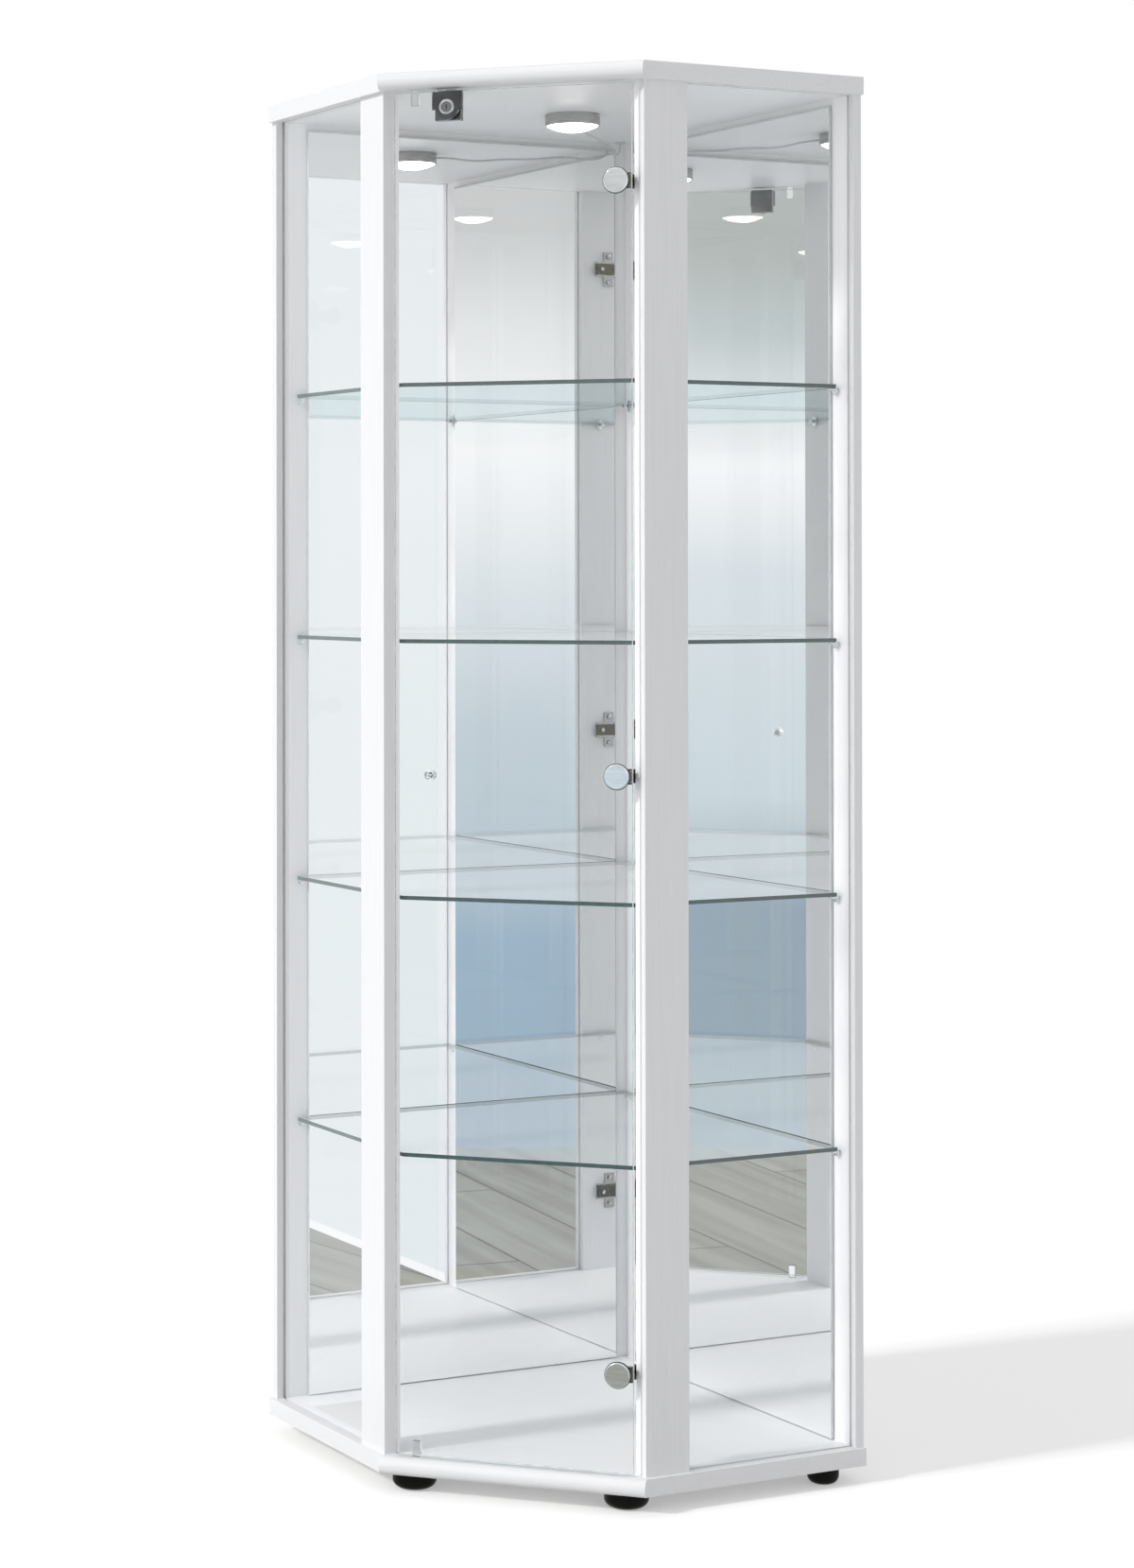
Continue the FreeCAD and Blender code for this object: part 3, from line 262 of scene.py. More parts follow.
looked_at = maths(sky, "MAXIMUM", sky_path.outputs["Is Camera Ray"],
                  sky_path.outputs["Is Glossy Ray"])
looked_at = maths(sky, "MAXIMUM", looked_at, sky_path.outputs["Is Transmission Ray"])
sky_mix = add_node(sky, "ShaderNodeMixShader",
                   {0: looked_at, 1: sky_fill.outputs[0], 2: sky_paper.outputs[0]})
add_node(sky, "ShaderNodeOutputWorld", {"Surface": sky_mix.outputs[0]})

bpy.context.scene.view_settings.view_transform = "Standard"
# Panes in front of mirrors in front of panes need more steps than a plain scene does.
bpy.context.scene.cycles.max_bounces = 16
bpy.context.scene.cycles.glossy_bounces = 10
bpy.context.scene.cycles.transparent_max_bounces = 40
print("key light from", [round(value, 2) for value in -key_way])

# %% [markdown]
# ## Floor and curtain
#
# The floor is one pale sheet that keeps the cabinet's shadow. It glows a little where it is looked
# at, straight or through glass, so that it meets the white of the world without a line.
#
# Mirrors show what stands round the cabinet. In an empty world they would be blank, so a studio
# curtain hangs in a ring, and boards in brown-grey lie inside it. The cloth is grey above, near
# white at eye height and blue lower down, darkest in the middle. A pale screen with a white foot
# stands behind each wall board and runs out to the ring. Only reflections see all this. A picture
# wrapped round the world would do as well, but real cloth shifts properly as the view moves.

# %% Floor
FLOOR_HALF = 14.0
FLOOR_COLOUR = (0.74, 0.735, 0.725, 1.0)
FLOOR_GLOW = 0.36


def link_mesh(name, mesh):
    """a new object for this mesh, at the origin"""
    thing = bpy.data.objects.new(name, mesh)
    bpy.context.scene.collection.objects.link(thing)
    return thing


floor_mesh = bpy.data.meshes.new("floor")
floor_mesh.from_pydata([(-FLOOR_HALF, -FLOOR_HALF, 0), (FLOOR_HALF, -FLOOR_HALF, 0),
                        (FLOOR_HALF, FLOOR_HALF, 0), (-FLOOR_HALF, FLOOR_HALF, 0)],
                       [], [(0, 1, 2, 3)])
floor = link_mesh("floor", floor_mesh)
floor_finish, sheet = empty_finish("floor_paper")
sheet_path = add_node(sheet, "ShaderNodeLightPath")
sheet_seen = maths(sheet, "MAXIMUM", sheet_path.outputs["Is Camera Ray"],
                   sheet_path.outputs["Is Transmission Ray"])
sheet_glow = add_node(sheet, "ShaderNodeEmission",
                      {"Strength": maths(sheet, "MULTIPLY", sheet_seen, FLOOR_GLOW)})
sheet_matt = add_node(sheet, "ShaderNodeBsdfDiffuse", {"Color": FLOOR_COLOUR})
sheet_both = add_node(sheet, "ShaderNodeAddShader",
                      {0: sheet_matt.outputs[0], 1: sheet_glow.outputs[0]})
add_node(sheet, "ShaderNodeOutputMaterial", {"Surface": sheet_both.outputs[0]})
floor.data.materials.append(floor_finish)
print("floor", FLOOR_HALF * 2, "m across")

# %% Curtain for the mirrors
CURTAIN_RADIUS = 1.65
CURTAIN_HEIGHT = 3.2
CURTAIN_STEPS = 96
MIDDLE_TONES = (
    (0.000, (0.27, 0.37, 0.45)),
    (0.150, (0.28, 0.38, 0.46)),
    (0.217, (0.63, 0.74, 0.79)),
    (0.355, (0.75, 0.82, 0.87)),
    (0.420, (1.02, 1.04, 1.06)),
    (0.500, (0.56, 0.63, 0.64)),
    (0.550, (0.46, 0.50, 0.485)),
    (1.000, (0.40, 0.42, 0.41)),
)
OUTER_TONES = (
    (0.000, (0.34, 0.46, 0.57)),
    (0.130, (0.36, 0.50, 0.63)),
    (0.175, (0.52, 0.63, 0.70)),
    (0.260, (0.59, 0.68, 0.74)),
    (0.350, (0.80, 0.86, 0.90)),
    (0.430, (1.01, 1.03, 1.05)),
    (0.510, (0.86, 0.88, 0.89)),
    (0.570, (0.65, 0.67, 0.67)),
    (1.000, (0.46, 0.47, 0.46)),
)
MIDDLE_X = 0.15
MIDDLE_HALF = 0.15
OUTER_HALF = 0.45

curtain_corners = []
for height in (0.0, CURTAIN_HEIGHT):
    for step in range(CURTAIN_STEPS):
        angle = 2 * math.pi * step / CURTAIN_STEPS
        curtain_corners.append((CURTAIN_RADIUS * math.cos(angle),
                                CURTAIN_RADIUS * math.sin(angle), height))
curtain_faces = []
for step in range(CURTAIN_STEPS):
    after = (step + 1) % CURTAIN_STEPS
    curtain_faces.append((step, after, CURTAIN_STEPS + after, CURTAIN_STEPS + step))
curtain_mesh = bpy.data.meshes.new("curtain")
curtain_mesh.from_pydata(curtain_corners, [], curtain_faces)
curtain = link_mesh("curtain", curtain_mesh)

curtain_finish, cloth = empty_finish("curtain_cloth")
cloth_place = add_node(cloth, "ShaderNodeTexCoord")
cloth_split = add_node(cloth, "ShaderNodeSeparateXYZ", {0: cloth_place.outputs["Object"]})
cloth_share = maths(cloth, "DIVIDE", cloth_split.outputs["Z"], CURTAIN_HEIGHT)
cloth_from_middle = maths(cloth, "SUBTRACT", cloth_split.outputs["X"], MIDDLE_X)
cloth_aside = add_node(cloth, "ShaderNodeMapRange", {
    "Value": maths(cloth, "ABSOLUTE", cloth_from_middle),
    "From Min": MIDDLE_HALF, "From Max": OUTER_HALF})
cloth_both = add_node(cloth, "ShaderNodeMix", {
    "Factor": cloth_aside.outputs["Result"],
    "A": colour_ramp(cloth, cloth_share, MIDDLE_TONES),
    "B": colour_ramp(cloth, cloth_share, OUTER_TONES)}, data_type="RGBA")
glow_only(cloth, cloth_both.outputs["Result"])
curtain.data.materials.append(curtain_finish)
print("curtain", CURTAIN_RADIUS, "m away")

# %% Planks for the mirrors
PLANK_LIFT = 0.5 * MM
PLANK_TURN = math.radians(53)
PLANK_LENGTH = 1.2
PLANK_WIDTH = 0.19
PLANK_SEAM = 0.003
PLANK_GRAIN = (1.6, 24.0, 1.0)
PLANK_TONES = ((0.35, (0.345, 0.35, 0.315)), (0.65, (0.44, 0.45, 0.41)))

planks_mesh = bpy.data.meshes.new("mirrored_floor")
planks_mesh.from_pydata([corner for corner in curtain_corners if corner[2] == 0.0], [],
                        [tuple(range(CURTAIN_STEPS))])
planks_mesh.transform(Matrix.Translation((0, 0, PLANK_LIFT)))
planks = link_mesh("mirrored_floor", planks_mesh)

planks_finish, boards = empty_finish("mirrored_planks")
boards_place = add_node(boards, "ShaderNodeTexCoord")
boards_turn = add_node(boards, "ShaderNodeMapping", {
    0: boards_place.outputs["Object"], "Rotation": (0.0, 0.0, PLANK_TURN)})
boards_grain = add_node(boards, "ShaderNodeMapping", {
    0: boards_turn.outputs[0], "Scale": PLANK_GRAIN})
boards_noise = add_node(boards, "ShaderNodeTexNoise", {
    "Vector": boards_grain.outputs[0], "Scale": 1.0})
boards_seams = add_node(boards, "ShaderNodeTexBrick", {
    "Vector": boards_turn.outputs[0], "Scale": 1.0, "Mortar Size": PLANK_SEAM,
    "Brick Width": PLANK_LENGTH, "Row Height": PLANK_WIDTH,
    "Color1": (1.0, 1.0, 1.0, 1.0), "Color2": (0.88, 0.88, 0.88, 1.0),
    "Mortar": (0.50, 0.50, 0.50, 1.0)})
boards_both = add_node(boards, "ShaderNodeMix", {
    "Factor": 1.0, "A": colour_ramp(boards, boards_noise.outputs["Fac"], PLANK_TONES),
    "B": boards_seams.outputs["Color"]}, data_type="RGBA", blend_type="MULTIPLY")
glow_only(boards, boards_both.outputs["Result"])
planks.data.materials.append(planks_finish)
print("planks", PLANK_WIDTH, "m wide")

# %% Screens behind the wall boards
SCREEN_GAP = 0.085
SCREEN_START = 0.45
SCREEN_END = 1.60
SCREEN_FOOT = 15 * MM
SCREEN_TONES = (("screen_foot", (1.05, 1.06, 1.07, 1.0)), ("screen_cloth", (0.88, 0.93, 0.95, 1.0)))
screen_far = CAD_HIGH.y + SCREEN_GAP * math.sqrt(2)
screen_corners = []
screen_faces = []
for side in (-1, 1):
    for low, high in ((0.0, SCREEN_FOOT), (SCREEN_FOOT, CURTAIN_HEIGHT)):
        first = len(screen_corners)
        for out, height in ((SCREEN_START, low), (SCREEN_END, low),
                            (SCREEN_END, high), (SCREEN_START, high)):
            screen_corners.append((side * out, screen_far - out, height))
        screen_faces.append((first, first + 1, first + 2, first + 3))
screens_mesh = bpy.data.meshes.new("mirrored_screens")
screens_mesh.from_pydata(screen_corners, [], screen_faces)
screens = link_mesh("mirrored_screens", screens_mesh)
for name, tone in SCREEN_TONES:
    plain, plain_tree = empty_finish(name)
    glow_only(plain_tree, tone)
    screens_mesh.materials.append(plain)
for face in screens_mesh.polygons:
    face.material_index = face.index % 2

# Only reflections and the bounces behind them meet the cloth, the planks and the screens.
for screen in (curtain, planks, screens):
    screen.visible_camera = False
    screen.visible_diffuse = False
    screen.visible_transmission = False
    screen.visible_shadow = False
print("screens", len(screen_faces) // 2)

# %% [markdown]
# ## A recipe for finishes
#
# Every finish below starts from the same few lines: a new material, its Principled shader, and the
# object's own coordinates squeezed or stretched to the scale of the detail. One helper builds that
# start and hands back the pieces, so each finish only says what is special about it. Copying the
# node set-up into each material would hide that under repeated lines.

# %% Finish helpers


class Finish:
    """a material with its Principled shader and a few ways to wire detail into it"""

    def __init__(self, name, colour, roughness, metallic=0.0):
        self.material = bpy.data.materials.new(name)
        self.material.use_nodes = True
        self.tree = self.material.node_tree
        self.shader = self.tree.nodes["Principled BSDF"]
        self.out = self.tree.nodes["Material Output"]
        self.shader.inputs["Base Color"].default_value = (*colour, 1.0)
        self.shader.inputs["Roughness"].default_value = roughness
        self.shader.inputs["Metallic"].default_value = metallic
        self.place = self.tree.nodes.new("ShaderNodeTexCoord")

    def node(self, kind, inputs=None, **settings):
        return add_node(self.tree, kind, inputs, **settings)

    def link(self, source, target):
        self.tree.links.new(source, target)

    def noise(self, scale, stretch=(1, 1, 1), detail=4.0, rough=0.55):
        """noise on the object's own coordinates; stretch squeezes it along each direction"""
        mapping = self.node("ShaderNodeMapping", {
            "Vector": self.place.outputs["Object"], "Scale": stretch})
        grain = self.node("ShaderNodeTexNoise", {
            "Vector": mapping.outputs[0], "Scale": scale, "Detail": detail, "Roughness": rough})
        return grain.outputs["Fac"]

    def spread(self, source, low, high, start=0.3, end=0.7):
        """maps a 0..1 pattern to low..high"""
        fit = self.node("ShaderNodeMapRange", {
            "Value": source, "From Min": start, "From Max": end, "To Min": low, "To Max": high})
        return fit.outputs["Result"]

    def tones(self, source, dark, light, start=0.3, end=0.7):
        """a colour between dark and light by a 0..1 pattern"""
        return colour_ramp(self.tree, source, ((start, dark), (end, light)))

    def maths(self, operation, *values):
        return maths(self.tree, operation, *values)

    def mixed(self, share, first, second):
        """two shaders in one, with this share of the second"""
        return self.node("ShaderNodeMixShader", {
            0: share, 1: first.outputs[0], 2: second.outputs[0]})

    def surface(self, shader):
        self.link(shader.outputs[0], self.out.inputs["Surface"])

    def colour(self, source):
        self.link(source, self.shader.inputs["Base Color"])

    def roughness(self, source):
        self.link(source, self.shader.inputs["Roughness"])

    def bump(self, source, depth, strength):
        bump = self.node("ShaderNodeBump", {
            "Strength": strength, "Distance": depth, "Height": source})
        self.link(bump.outputs[0], self.shader.inputs["Normal"])

    def along(self, way):
        """how far the face's normal points along this direction, from -1 to 1"""
        dot = self.node("ShaderNodeVectorMath", {
            0: self.place.outputs["Normal"], 1: Vector(way).normalized()},
            operation="DOT_PRODUCT")
        return dot.outputs["Value"]

    def facing(self, way):
        """1 on faces that look along this direction or its opposite, 0 on the edges"""
        return self.maths("GREATER_THAN", self.maths("ABSOLUTE", self.along(way)), 0.9)

    def signed(self, way):
        """1 on faces that look along this direction, 0 on the others"""
        return self.maths("GREATER_THAN", self.along(way), 0.0)


def dress(node, material):
    """gives a node of the frame its finish"""
    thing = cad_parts[node]
    if thing.material_slots:
        thing.material_slots[0].material = material
    else:
        thing.data.materials.append(material)


print("finish helpers ready")

# %% [markdown]
# ## White melamine
#
# The boards are chipboard under a white decor film with a faint pressed wood grain, which runs
# along each board. A picture of wood would be far too strong. Noise stretched sixty times along
# the grain gives the fine streaks, a second and broader noise makes the gloss wander a little, and
# the bump is only hundredths of a millimetre deep.

# %% Melamine finish
WHITE_FILM = (0.865, 0.87, 0.88)
WHITE_STREAK = (0.835, 0.84, 0.852)


def melamine(name, stretch):
    film = Finish(name, WHITE_FILM, 0.36)
    streaks = film.noise(1.0, stretch, detail=5.0, rough=0.6)
    film.colour(film.tones(streaks, WHITE_STREAK, WHITE_FILM, 0.36, 0.56))
    broad = film.noise(6.0, (1, 1, 0.3), detail=2.0)
    film.roughness(film.spread(broad, 0.34, 0.40))
    film.bump(streaks, 0.02 * MM, 0.4)
    film.shader.inputs["Specular IOR Level"].default_value = 0.4
    return film.material


melamine_upright = melamine("melamine_upright", (420, 420, 7))
melamine_flat = melamine("melamine_flat", (7, 420, 420))
print("melamine", [round(value, 2) for value in WHITE_FILM])

# %% [markdown]
# ## Boards with eased edges
#
# No edge of a real board is a perfect corner: the edging tape is scraped to half a millimetre, and
# that thin round catches the light. A merged copy of each board is dissolved back to its flat
# faces, its sharp edges are rounded, and the copy stands in for the bare solid. A Bevel modifier on
# the solid itself can't work, because its triangles aren't joined.

# %% Merged copies
SHARP = math.radians(32)
NEARLY_FLAT = math.radians(0.8)
TOUCHING = 1e-6


def round_edges(form, edges, ease, steps):
    """rounds these edges of a form to a radius"""
    bmesh.ops.bevel(form, geom=edges, offset=ease, segments=steps, profile=0.5,
                    affect="EDGES", clamp_overlap=True)


def eased_copy(node, ease, steps):
    """the mesh of a node, merged, with its sharp edges rounded to this radius"""
    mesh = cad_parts[node].data.copy()
    form = bmesh.new()
    form.from_mesh(mesh)
    bmesh.ops.remove_doubles(form, verts=form.verts, dist=TOUCHING)
    bmesh.ops.dissolve_limit(form, angle_limit=NEARLY_FLAT, verts=form.verts, edges=form.edges)
    sharp = [edge for edge in form.edges
             if len(edge.link_faces) == 2 and edge.calc_face_angle(0.0) > SHARP]
    round_edges(form, sharp, ease, steps)
    form.to_mesh(mesh)
    form.free()
    return mesh


def smooth(mesh):
    """smooth faces that stay crisp where they meet at a sharp angle"""
    mesh.polygons.foreach_set("use_smooth", [True] * len(mesh.polygons))
    mesh.set_sharp_from_angle(angle=SHARP)
    mesh.update()
    return mesh


def with_modifiers(thing):
    """the mesh of an object after its modifiers"""
    depsgraph = bpy.context.evaluated_depsgraph_get()
    return bpy.data.meshes.new_from_object(thing.evaluated_get(depsgraph))


def piece(name, mesh, material, body, stands_for):
    """a finished piece: its mesh, finish, body, and the nodes that it stands for"""
    mesh.name = name
    mesh.materials.clear()
    mesh.materials.append(material)
    thing = link_mesh(name, mesh)
    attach(thing, body)
    if stands_for:
        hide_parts(*stands_for)
    return thing


def weighed(mesh):
    """large flat faces keep their flat shading beside rounded edges"""
    thing = link_mesh("weighed", mesh)
    scales = thing.modifiers.new("weigh", "WEIGHTED_NORMAL")
    scales.mode = "FACE_AREA"
    scales.keep_sharp = True
    result = with_modifiers(thing)
    bpy.data.objects.remove(thing)
    return result


def ease_node(node, name, ease, material, body, steps=2):
    """a node's merged copy with rounded edges, in its place"""
    mesh = weighed(smooth(eased_copy(node, ease, steps)))
    return piece(name, mesh, material, body, (node,))


BOARD_EASE = 0.6 * MM
for node, finish in (
        ("top_panel", melamine_flat), ("base_panel", melamine_flat),
        ("front_post_left", melamine_upright), ("front_post_right", melamine_upright),
        ("back_panel_left", melamine_upright), ("back_panel_right", melamine_upright)):
    board = ease_node(node, node + "_board", BOARD_EASE, finish, "carcass")
    print(board.name, len(board.data.polygons), "faces")

# %% [markdown]
# ## Clear glass
#
# Float glass is nearly colourless through its face and green through its edge, where the light
# travels far inside it. The panes are thin and flat, so nothing behind them shifts. A Transparent
# shader under a gloss that grows towards grazing angles looks the same as true refraction, costs
# far fewer bounces, and lets the lamps shine through. Only the outer skin reflects, with the share
# that both skins of a pane send back together. The ground edges get a colour of their own, pale
# on the panes and dark green on the shelves. A shelf's under faces reflect in a darker green-grey,
# partly the glass's own green and partly painted shade, and its upper faces mix in a pale matt
# share that lightens them seen from above.

# %% Glass finish
GLASS_IOR = 1.5
GLOSS_COLOUR = (0.98, 0.98, 0.98, 1.0)
# the pale matt that a shelf's upper faces mix in, lightening them seen from above
UPPER_MATT_COLOUR = (0.90, 0.92, 0.93, 1.0)


def glass(name, way, tint, edge_colour, edge_rough, under=None, upper_matt=0.0):
    """clear pane: way is the direction that its faces look along

    under is the darker green-grey that the under faces reflect in, partly the glass's green
    and partly painted shade; the last argument is the share of pale matt on the upper faces
    """
    pane = Finish(name, edge_colour, edge_rough)
    pane.shader.inputs["Specular IOR Level"].default_value = 0.4
    mottle = pane.noise(90.0, detail=2.0)
    dark = tuple(value * 0.7 for value in edge_colour)
    pane.colour(pane.tones(mottle, dark, edge_colour))
    clear = pane.node("ShaderNodeBsdfTransparent", {"Color": (*tint, 1.0)})
    gloss = pane.node("ShaderNodeBsdfGlossy", {"Roughness": 0.0, "Color": GLOSS_COLOUR})
    once = pane.node("ShaderNodeFresnel", {"IOR": GLASS_IOR}).outputs[0]
    both = pane.maths("DIVIDE", pane.maths("MULTIPLY", once, 2.0), pane.maths("ADD", once, 1.0))
    skin = pane.node("ShaderNodeNewGeometry")
    front = pane.maths("SUBTRACT", 1.0, skin.outputs["Backfacing"])
    path = pane.node("ShaderNodeLightPath")
    looked = pane.maths("SUBTRACT", 1.0, path.outputs["Is Diffuse Ray"])
    share = pane.maths("MULTIPLY", pane.maths("MULTIPLY", both, front), looked)
    shine = gloss
    # Painted shade: under faces reflect in a darker green-grey; upper faces mix in a pale matt
    # share that lightens them seen from above.
    if under:
        upper = pane.signed(way)
        tinted = pane.node("ShaderNodeMix", {
            "Factor": upper, "A": (*under, 1.0), "B": GLOSS_COLOUR}, data_type="RGBA")
        pane.link(tinted.outputs["Result"], gloss.inputs["Color"])
        upper_matt_layer = pane.node("ShaderNodeBsdfDiffuse", {"Color": UPPER_MATT_COLOUR})
        shine = pane.mixed(pane.maths("MULTIPLY", upper, upper_matt), gloss, upper_matt_layer)
    face = pane.mixed(share, clear, shine)
    pane.surface(pane.mixed(pane.facing(way), pane.shader, face))
    return pane.material


PANE_TINT = (0.995, 0.995, 0.995)
SHELF_TINT = (0.986, 0.990, 0.989)
PANE_EDGE = (0.76, 0.82, 0.81)
SHELF_EDGE = (0.045, 0.080, 0.074)
# A shelf's under faces reflect in this darker green-grey: partly the glass's green, partly painted
# shade.
SHELF_UNDER_SHADE = (0.76, 0.85, 0.86)
SHELF_UPPER_MATT = 0.22
dress("door_glass", glass("door_glass_clear", (0, 1, 0), PANE_TINT, PANE_EDGE, 0.25))
dress("side_glass_left", glass("side_glass_left_clear", (-1, -1, 0), PANE_TINT, PANE_EDGE, 0.25))
dress("side_glass_right", glass("side_glass_right_clear", (1, -1, 0), PANE_TINT, PANE_EDGE, 0.25))
shelf_clear = glass("shelf_glass_clear", (0, 0, 1), SHELF_TINT, SHELF_EDGE, 0.18,
                    SHELF_UNDER_SHADE, SHELF_UPPER_MATT)
SHELVES = (1, 2, 3, 4)
for number in SHELVES:
    dress("glass_shelf_%d" % number, shelf_clear)
print("panes dressed")

# %% [markdown]
# ## Mirrors
#
# A wall mirror is silver behind clear glass. From the front that is a polished metal that loses a
# little light. Its edges are plain ground glass. A few millimetres below the top edge the finish
# turns to a mottled matt grey by the height of the point: painted shade that widens the shaded
# joint under the top.

# %% Mirror finish
MIRROR_SHADE_BAND = 3.5 * MM
SILVER = (0.962, 0.962, 0.960)


def silvered(name, way, node):
    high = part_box(node)[1]
    silver = Finish(name, SILVER, 0.008, 1.0)
    split = silver.node("ShaderNodeSeparateXYZ", {0: silver.place.outputs["Object"]})
    # Painted shade: above this height the face turns a mottled matt grey, darkening the joint under
    # the top.
    under_high = silver.maths("LESS_THAN", split.outputs["Z"], high.z - MIRROR_SHADE_BAND)
    silver_below_band = silver.maths("MULTIPLY", under_high, silver.facing(way))
    top_band_mottle = silver.noise(60.0)
    grey = silver.tones(top_band_mottle, (0.50, 0.53, 0.53), (0.58, 0.61, 0.61))
    shown = silver.node("ShaderNodeMix", {
        "Factor": silver_below_band, "A": grey, "B": (*SILVER, 1.0)}, data_type="RGBA")
    silver.colour(shown.outputs["Result"])
    silver.link(silver_below_band, silver.shader.inputs["Metallic"])
    silver.roughness(silver.spread(silver_below_band, 0.35, 0.008, 0.0, 1.0))
    return silver.material


dress("mirror_left", silvered("silver_left", (1, -1, 0), "mirror_left"))
dress("mirror_right", silvered("silver_right", (-1, -1, 0), "mirror_right"))

foam = Finish("foam_tape", (0.78, 0.78, 0.75), 0.9)
foam_cells = foam.noise(900.0, detail=2.0)
foam.colour(foam.tones(foam_cells, (0.66, 0.66, 0.63), (0.80, 0.80, 0.77)))
foam.bump(foam_cells, 0.3 * MM, 0.8)
for side in SIDES:
    dress("mirror_tape_" + side, foam.material)
print("mirrors dressed")

# %% [markdown]
# ## Small finishes
#
# The fittings share a handful of finishes. Polished plating is metal with faint waves in its
# gloss. Zinc is duller and blotchy. Moulded plastic has a fine orange peel. Each one is a short
# call on the same helper.

# %% Metals and plastics


def metal(name, colour, rough, wander, scale=60.0, stretch=(1, 1, 1), depth=0.0):
    """plated or brushed metal whose gloss wanders by this much"""
    skin = Finish(name, colour, rough, 1.0)
    waves = skin.noise(scale, stretch, detail=3.0)
    skin.roughness(skin.spread(waves, max(rough - wander, 0.02), rough + wander))
    skin.colour(skin.tones(waves, tuple(value * 0.90 for value in colour), colour))
    if depth:
        skin.bump(waves, depth, 0.4)
    return skin.material


def moulded(name, colour, rough, depth=0.01 * MM):
    """moulded plastic with a fine orange peel"""
    skin = Finish(name, colour, rough)
    peel = skin.noise(700.0, detail=3.0)
    cloud = skin.noise(45.0, detail=2.0)
    skin.roughness(skin.spread(cloud, rough * 0.8, rough * 1.25))
    skin.colour(skin.tones(cloud, tuple(value * 0.92 for value in colour), colour))
    skin.bump(peel, depth, 0.5)
    return skin.material


chrome = metal("chrome_plate", (0.80, 0.81, 0.82), 0.07, 0.03)
nickel = metal("nickel_plate", (0.44, 0.43, 0.41), 0.16, 0.06, 90.0)
knuckle_metal = metal("knuckle_metal", (0.13, 0.115, 0.075), 0.28, 0.08, 90.0)
cap_metal = metal("cap_metal", (0.965, 0.967, 0.97), 0.14, 0.03, 40.0, (1, 1, 6))
pin_steel = metal("pin_steel", (0.58, 0.58, 0.59), 0.22, 0.06)
zinc = metal("zinc_plate", (0.62, 0.63, 0.64), 0.28, 0.09, 120.0)
ring_metal = metal("ring_metal", (0.44, 0.44, 0.43), 0.30, 0.08, 40.0, (1, 1, 30), 0.01 * MM)
lock_black = metal("lock_black", (0.11, 0.112, 0.115), 0.20, 0.07, 80.0)
lock_chrome = metal("lock_chrome", (0.30, 0.30, 0.305), 0.12, 0.03)
rosette_chrome = metal("rosette_chrome", (0.66, 0.67, 0.68), 0.08, 0.03)
lock_steel = metal("lock_steel", (0.50, 0.51, 0.52), 0.30, 0.08, 120.0, (1, 1, 8))
foot_black = moulded("foot_black", (0.004, 0.004, 0.004), 0.22)
foot_black.node_tree.nodes["Principled BSDF"].inputs["Specular IOR Level"].default_value = 0.2
cover_white = moulded("cover_white", (0.84, 0.845, 0.85), 0.32)
socket_grey = moulded("socket_grey", (0.60, 0.605, 0.61), 0.35)
gasket_grey = moulded("gasket_grey", (0.10, 0.10, 0.10), 0.60, 0.03 * MM)
sheath_grey = moulded("sheath_grey", (0.62, 0.625, 0.63), 0.38)
lead.data.materials.append(sheath_grey)


def clear_plastic(name, tint):
    """cast clear plastic; lamps shine through it, and its faces keep their sparkle"""
    cast = Finish(name, tint, 0.02)
    cast.shader.inputs["Transmission Weight"].default_value = 1.0
    cast.shader.inputs["IOR"].default_value = 1.49
    clouds = cast.noise(120.0, detail=2.0)
    cast.roughness(cast.spread(clouds, 0.0, 0.05))
    path = cast.node("ShaderNodeLightPath")
    through = cast.node("ShaderNodeBsdfTransparent", {"Color": (0.93, 0.95, 0.95, 1.0)})
    cast.surface(cast.mixed(path.outputs["Is Shadow Ray"], cast.shader, through))
    return cast.material


clear_cast = clear_plastic("clear_cast", (0.955, 0.975, 0.975))
smoked_cast = clear_plastic("smoked_cast", (0.80, 0.82, 0.82))
print("finishes", len(bpy.data.materials))

# %% [markdown]
# ## Turned parts
#
# Feet, knob, caps, collars and the light's ring are all turned on a lathe or moulded round. One
# half of the outline says everything, so a helper spins a profile round an axis. The profile is a
# list of radius and distance, and a corner may carry a third number: the radius that it is eased
# to. The Spin operator could do it too, but a closed ring of quads needs no merging afterwards.

# %% Lathe helper
EASE_STEPS = 4


def eased(profile, closed):
    """the profile with each corner that carries a third number rounded by that much"""
    path = []
    count = len(profile)
    for number, corner in enumerate(profile):
        here = Vector(corner[:2])
        ease = corner[2] if len(corner) > 2 else 0.0
        inner = closed or 0 < number < count - 1
        if not ease or not inner:
            path.append(here)
            continue
        before = Vector(profile[(number - 1) % count][:2])
        after = Vector(profile[(number + 1) % count][:2])
        start = here + (before - here).normalized() * ease
        end = here + (after - here).normalized() * ease
        for step in range(EASE_STEPS + 1):
            share = step / EASE_STEPS
            path.append(start.lerp(here, share).lerp(here.lerp(end, share), share))
    return path


def as_mesh(form, name):
    """closes a form and gives its mesh, smooth where it is round"""
    mesh = bpy.data.meshes.new(name)
    form.to_mesh(mesh)
    form.free()
    return smooth(mesh)


